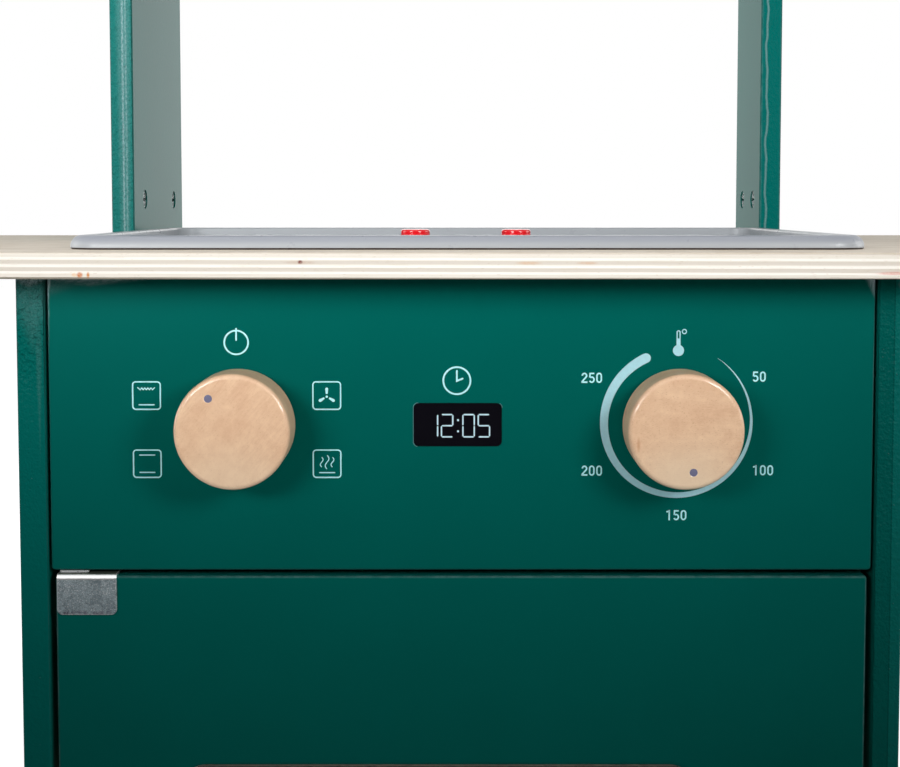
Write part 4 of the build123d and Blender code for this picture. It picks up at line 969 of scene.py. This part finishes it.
# A flat strip of ink along a path of (x, z) points in mm; lift raises it off the panel's front
def inkStroke(form, path, width, closed=False, roundEnds=True, lift=0.0):
    widths = list(width) if isinstance(width, list) else [width] * len(path)
    if roundEnds and not closed:
        head = roundCap(path[0], path[1], widths[0])[::-1]
        tail = roundCap(path[-1], path[-2], widths[-1])
        path = [p for p, w in head] + list(path) + [p for p, w in tail]
        widths = [w for p, w in head] + widths + [w for p, w in tail]
    plane = panelFront - lift
    last = len(path) - 1
    rows = []
    for i, (x, z) in enumerate(path):
        before = path[i - 1] if i > 0 or closed else path[0]
        after = path[(i + 1) % len(path)] if i < last or closed else path[last]
        first = unitNormal(before, (x, z)) or unitNormal((x, z), after)
        second = unitNormal((x, z), after) or first
        sumX, sumZ = first[0] + second[0], first[1] + second[1]
        share = widths[i] / max(1 + first[0] * second[0] + first[1] * second[1], 0.35)
        sides = [(x + k * sumX * share / 2, z + k * sumZ * share / 2) for k in (-1, 1)]
        rows.append([form.verts.new((px, y, pz)) for px, pz in sides for y in (plane, plane - inkDepth)])
    pairs = list(zip(rows, rows[1:])) + ([(rows[-1], rows[0])] if closed else [])
    for a, b in pairs:
        for i, j in ((1, 3), (3, 2), (2, 0), (0, 1)):
            form.faces.new((a[i], b[i], b[j], a[j]))
    if not closed:
        for a in (rows[0], rows[-1]):
            form.faces.new((a[0], a[1], a[3], a[2]))


# Side faces between two closed rows with the same number of points
def joinRows(form, lower, upper):
    for i in range(len(lower)):
        j = (i + 1) % len(lower)
        form.faces.new((lower[i], lower[j], upper[j], upper[i]))


# A filled mark with the given outline of (x, z) points
def inkPatch(form, outline, plane=panelFront):
    back = [form.verts.new((x, plane, z)) for x, z in outline]
    front = [form.verts.new((x, plane - inkDepth, z)) for x, z in outline]
    form.faces.new(front)
    form.faces.new(back)
    joinRows(form, back, front)


# Lengths in mm, and heights from the knobs
printLook = {
    "ink": tone(184, 244, 248),
    "scaleInk": tone(172, 220, 230),
    "line": 0.56,
    "shift": -0.9,  # the print sits a little to the left of the knobs
    "symbolSize": 11.5,
    "symbolCorner": 1.3,
    "symbolAcross": 37.5,
    "symbolUp": 12.2,
    "symbolDown": -16.4,
    "barLength": 6.2,
    "barLine": 0.52,
}
paleInk = ink("paleInk", printLook["ink"])
scaleInk = ink("scaleInk", printLook["scaleInk"])


ringMarks = {
    "mark_power": {"x": leftDialX + printLook["shift"], "up": 34.4, "radius": 4.95, "ringLine": 0.70,
                   "hands": [(0, 5.75), (0, 0.95)], "line": 0.66},
    "mark_clock": {"x": -1.85, "up": 18.45, "radius": 5.65, "ringLine": 0.74,
                   "hands": [(0, 4.1), (0, -0.1), (2.4, 0.85)], "line": 0.74},
}


def addRingMark(name, look):
    form = bmesh.new()
    x = look["x"]
    z = dialZ + look["up"]
    inkStroke(form, ring(x, z, look["radius"]), look["ringLine"], closed=True)
    inkStroke(form, [(x + u, z + v) for u, v in look["hands"]], look["line"], lift=0.01)
    addPrint(name, form, paleInk)


def bar(form, x, z, length=printLook["barLength"], width=printLook["barLine"]):
    inkStroke(form, [(x - length / 2, z), (x + length / 2, z)], width)


def grillSymbol(form, x, z):
    teeth = [(x - 2.61 + 1.28 * i / 2, z + (2.44 if i % 2 == 0 else 3.22)) for i in range(9)]
    inkStroke(form, [(x - 3.65, z + 3.35)] + teeth + [(x + 3.38, z + 3.3)], 0.42)
    bar(form, x, z - 3.85)


def twoBarSymbol(form, x, z):
    bar(form, x, z + 3.65)
    bar(form, x, z - 3.65)


def fanSymbol(form, x, z):
    hub = z - 0.45
    inkPatch(form, ring(x, hub, 0.5))
    blade = [(-0.38, 1.15), (0.38, 1.15), (0.64, 3.10)] + arc(0, 3.10, 0.64, 90, -90, 0.72)[1:]
    for a in (radians(turn) for turn in (0, 120, 240)):
        inkPatch(form, [(x + u * cos(a) + v * sin(a), hub - u * sin(a) + v * cos(a)) for u, v in blade])


def steamSymbol(form, x, z):
    steps = 16
    plumes = ((-2.24, 2.6, -1.28, 0.58), (0.0, 3.4, -2.1, 0.78), (2.24, 2.6, -1.28, 0.6))
    for across, top, bottom, swing in plumes:
        path = []
        for i in range(steps + 1):
            wave = swing * sin(2 * pi * (0.04 + 0.92 * i / steps))
            path.append((x + across + wave, z + top + (bottom - top) * i / steps))
        inkStroke(form, path, 0.44)
    bar(form, x, z - 3.75, 6.3, 0.50)


# The drawing of each symbol, its side of the knob and its height
symbols = {
    "mark_grill": (grillSymbol, -1, "symbolUp"),
    "mark_two_bars": (twoBarSymbol, -1, "symbolDown"),
    "mark_fan": (fanSymbol, 1, "symbolUp"),
    "mark_steam": (steamSymbol, 1, "symbolDown"),
}


def addSymbols(look):
    for name, (draw, side, height) in symbols.items():
        form = bmesh.new()
        x = leftDialX + look["shift"] + side * look["symbolAcross"]
        z = dialZ + look[height]
        frameLine = roundedBox(x, z, look["symbolSize"], look["symbolSize"], look["symbolCorner"])
        inkStroke(form, frameLine, look["line"], closed=True)
        draw(form, x, z)
        addPrint(name, form, paleInk)


# Lengths in mm, measured from the right knob
scaleLook = {
    "shift": -0.75,
    "up": 0.7,
    "ringShift": -1.05,
    "ringUp": 1.0,
    "outer": 31.8,
    "start": 32.5,  # degrees clockwise from up
    "sweep": 302.0,
    "fullWidth": 4.05,
    "leastShare": 0.012,  # the hairline's share of the way to the full width
    "taper": 0.75,
    "steps": 150,
    "numbers": {"50": (34.0, 19.45), "100": (36.0, -19.85), "150": (0.0, -38.8), "200": (-35.4, -20.0),
                "250": (-35.6, 18.95)},
    "pitch": 3.07,  # from digit to digit
    "line": 0.64,
}


def digitPaths(digit):
    if digit == "0":
        return [(arc(0, 0.78, 0.9, -90, 90, 1.06) + arc(0, -0.78, 0.9, 90, 270, 1.06), True)]
    if digit == "1":
        return [([(0.17, 2.18), (0.17, -2.18)], False), ([(-1.0, 1.32), (0.3, 1.86)], False)]
    if digit == "2":
        bowl = arc(0.03, 0.85, 0.9, -88, 95, 0.98)
        return [(bowl + [(0.72, 0.3), (-0.92, -1.55), (-0.92, -1.82), (1.28, -1.82)], False)]
    bowl = arc(0.0, -0.78, 0.93, -42, 245, 1.07)
    return [([(1.05, 1.82), (-0.68, 1.82), (-0.8, 0.1)], False), (bowl, False)]


def addScaleNumbers(look):
    for number, (across, up) in look["numbers"].items():
        form = bmesh.new()
        for i, digit in enumerate(number):
            x = rightDialX + look["shift"] + across + (i - (len(number) - 1) / 2) * look["pitch"]
            z = dialZ + look["up"] + up
            for path, closed in digitPaths(digit):
                inkStroke(form, [(x + u, z + v) for u, v in path], look["line"], closed, roundEnds=False)
        addPrint("scale_" + number, form, paleInk)


# The heat scale: a hairline that swells round the knob to a broad rounded end
def addScaleRing(look):
    form = bmesh.new()
    x = rightDialX + look["ringShift"]
    z = dialZ + look["ringUp"]
    path = []
    widths = []
    for i in range(look["steps"] + 1):
        share = i / look["steps"]
        width = look["fullWidth"] * max(share, look["leastShare"]) ** look["taper"]
        angle = radians(look["start"] + look["sweep"] * share)
        radius = look["outer"] - width / 2
        path.append((x + radius * sin(angle), z + radius * cos(angle)))
        widths.append(width)
    inkStroke(form, path, widths)
    addPrint("scale_ring", form, scaleInk)


# Lengths in mm, measured from the middle of the bulb
thermometerLook = {
    "across": -0.4,  # from the right knob
    "up": 31.05,
    "bulb": 2.33,
    "column": (3.0, 1.7, 4.0),  # middle, width and height of the filled part
    "stem": (4.4, 7.6, 0.6),  # foot, top and half width of the open part
    "stemLine": 0.5,
    "degree": (2.4, 7.9, 0.86),  # the small ring beside it
    "degreeLine": 0.45,
}


def addThermometer(look):
    form = bmesh.new()
    x = rightDialX + look["across"]
    z = dialZ + look["up"]
    middle, width, height = look["column"]
    foot, top, half = look["stem"]
    across, up, radius = look["degree"]
    inkPatch(form, ring(x, z, look["bulb"]))
    inkPatch(form, roundedBox(x, z + middle, width, height, 0.1), panelFront - 0.008)
    stem = [(x - half, z + foot)] + arc(x, z + top, half, -90, 90) + [(x + half, z + foot)]
    inkStroke(form, stem, look["stemLine"], roundEnds=False)
    inkStroke(form, ring(x + across, z + up, radius), look["degreeLine"], closed=True)
    addPrint("mark_thermometer", form, scaleInk)


addRingMark("mark_power", ringMarks["mark_power"])
addSymbols(printLook)
addRingMark("mark_clock", ringMarks["mark_clock"])
addScaleRing(scaleLook)
addScaleNumbers(scaleLook)
addThermometer(thermometerLook)
print("panel printed")


displayLook = {
    "ink": tone(202, 232, 244),
    "digits": {"1": -14.57, "2": -8.26, "0": 0.67, "5": 7.05},  # left edge of each digit
    "width": 4.72,
    "middle": 367.1,
    "half": 4.67,
    "line": 0.60,
    "gap": 0.10,
    "colonX": -1.37,
    "colonUp": 2.32,
    "dot": 0.46,
    "rimInk": tone(92, 138, 140),
    "rimOut": 0.15,  # how far the rim lies outside the plate
    "rimCorner": 2.0,
    "rimLines": (0.26, 0.22),  # left side, upper right corner
}
# The ends of each bar of a digit, as (0 left or 1 right, 1 top to -1 foot)
barEnds = {
    "a": ((0, 1), (1, 1)), "b": ((1, 1), (1, 0)), "c": ((1, 0), (1, -1)), "d": ((0, -1), (1, -1)),
    "e": ((0, 0), (0, -1)), "f": ((0, 1), (0, 0)), "g": ((0, 0), (1, 0)),
}
barsOf = {"1": "bc", "2": "abged", "0": "abcdef", "5": "afgcd"}


# One bar of a digit: a long hexagon between two corners of the figure
def segment(form, start, end, line, gap):
    x, z = start
    length = hypot(end[0] - x, end[1] - z)
    ux, uz = (end[0] - x) / length, (end[1] - z) / length
    h = line / 2
    far = length - gap
    shape = [(gap, 0), (gap + h, h), (far - h, h), (far, 0), (far - h, -h), (gap + h, -h)]
    inkPatch(form, [(x + ux * a - uz * b, z + uz * a + ux * b) for a, b in shape], displayFront)


def addDisplayFigures(look):
    form = bmesh.new()
    for digit, left in look["digits"].items():
        for name in barsOf[digit]:
            ends = [(left + u * look["width"], look["middle"] + v * look["half"]) for u, v in barEnds[name]]
            segment(form, *ends, look["line"], look["gap"])
    for up in (look["colonUp"], -look["colonUp"]):
        inkPatch(form, ring(look["colonX"], look["middle"] + up, look["dot"]), displayFront)
    addPrint("display_figures", form, ink("figureInk", look["ink"]))


# A painted highlight along the edge of the opening round the display, on its left and at its upper right
# corner
def addDisplayRimHighlight(look):
    low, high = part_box("display_plate")
    x, z = (low.x + high.x) / 2 / mm, (low.z + high.z) / 2 / mm
    width, height = ((high[k] - low[k]) / mm + 2 * look["rimOut"] for k in (0, 2))
    outline = roundedBox(x, z, width, height, look["rimCorner"])
    count = len(outline) // 4
    leftLine, cornerLine = look["rimLines"]
    form = bmesh.new()
    inkStroke(form, outline[2 * count + 2:], leftLine)
    inkStroke(form, outline[count // 3:count], cornerLine)
    addPrint("display_rim", form, ink("rimInk", look["rimInk"]))


addDisplayFigures(displayLook)
addDisplayRimHighlight(displayLook)
print("display printed")


pointerLook = {
    "reach": 16.5,
    "radius": 1.72,
    "sunk": 0.12,
    "crown": 0.12,
    "base": 0.42,  # how deep the filler goes
    "rings": 5,
    "turns": {"left": 34.0, "right": -170.0},
}
pointerFill = plastic("pointerFill", tone(118, 118, 146), 0.5, 1500.0, 0.00003, 0.2)


# A small lens of filler set in the dimple of a knob
def addPointer(side, centreX, look):
    angle = radians(look["turns"][side])
    x = centreX - look["reach"] * sin(angle)
    z = dialZ + look["reach"] * cos(angle)
    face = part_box(side + "_dial")[0].y / mm
    form = bmesh.new()
    rows = []
    for k in range(look["rings"]):
        share = 1 - k / look["rings"]
        y = face + look["sunk"] - look["crown"] * (1 - share ** 2)
        rows.append([form.verts.new((px, y, pz)) for px, pz in ring(x, z, look["radius"] * share)])
    base = [form.verts.new((px, face + look["base"], pz)) for px, pz in ring(x, z, look["radius"])]
    form.faces.new(base)
    form.faces.new(rows[-1])
    for lower, upper in zip([base] + rows, rows):
        joinRows(form, lower, upper)
    addPiece(side + "_pointer", form, pointerFill, side + "_knob")


addPointer("left", leftDialX, pointerLook)
addPointer("right", rightDialX, pointerLook)
print("pointers set")


crossLook = {
    "reach": 0.50,  # half length of an arm, as a share of the head's radius
    "width": 0.13,
    "proud": 0.02,  # mm
    "deep": 0.6,
    "carcass": ("cabinet_screws", "back_panel_screws", "rail_screws", "plate_screws", "rack_screws",
                "hob_screws"),
    "door": ("door_screws", "handle_screws"),
}
slotShade = plastic("slotShade", tone(34, 36, 38), 0.45, 1500.0, 0.00003, 0.3)


# Each separate solid of a node, as a list of points in mm
def solidsOf(node):
    form = bmesh.new()
    form.from_mesh(cadNodes[node].data)
    bmesh.ops.remove_doubles(form, verts=form.verts, dist=1e-6)
    waiting = set(form.verts)
    solids = []
    for start in form.verts:
        if start not in waiting:
            continue
        waiting.remove(start)
        reached = [start]
        for vert in reached:
            others = (edge.other_vert(vert) for edge in vert.link_edges)
            near = [other for other in others if other in waiting]
            waiting.difference_update(near)
            reached.extend(near)
        solids.append([vert.co / mm for vert in reached])
    form.free()
    return solids


# The middle of a screw's head, the axis it lies on, the way it faces and its radius
def headOf(points):
    low = [min(p[k] for p in points) for k in range(3)]
    high = [max(p[k] for p in points) for k in range(3)]
    axis = max(range(3), key=lambda k: high[k] - low[k])
    middle = [(low[k] + high[k]) / 2 for k in range(3)]
    sides = [k for k in range(3) if k != axis]
    widest = max(points, key=lambda p: hypot(*(p[k] - middle[k] for k in sides)))
    way = 1 if widest[axis] > middle[axis] else -1
    centre = list(middle)
    centre[axis] = high[axis] if way > 0 else low[axis]
    return centre, axis, way, hypot(*(widest[k] - middle[k] for k in sides))


# The crossed slots of the screw heads, as dark inlays: painted shade in place of the recesses
def addScrewSlots(body, look):
    form = bmesh.new()
    for node in look[body]:
        for points in solidsOf(node):
            centre, axis, way, radius = headOf(points)
            for along in (k for k in range(3) if k != axis):
                size = [2 * radius * look["width"]] * 3
                size[along] = 2 * radius * look["reach"]
                size[axis] = look["deep"] + look["proud"]
                place = list(centre)
                place[axis] += way * (look["proud"] - look["deep"]) / 2
                made = bmesh.ops.create_cube(form, size=1.0)["verts"]
                bmesh.ops.scale(form, vec=size, verts=made)
                bmesh.ops.translate(form, vec=place, verts=made)
    addPiece(body + "_screw_slots", form, slotShade, body)


addScrewSlots("carcass", crossLook)
addScrewSlots("door", crossLook)
print("screw heads slotted")


# A button's spring rides on its button's body, so it goes down with its button
def addSpring(side):
    node = side + "_button_spring"
    coil = addObject(side + "_coil", cadNodes[node].data.copy())
    coil.matrix_world = cadNodes[node].matrix_world
    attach(coil, side + "_push")
    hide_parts(node)
    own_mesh(coil)


addSpring("left")
addSpring("right")
print("springs set")
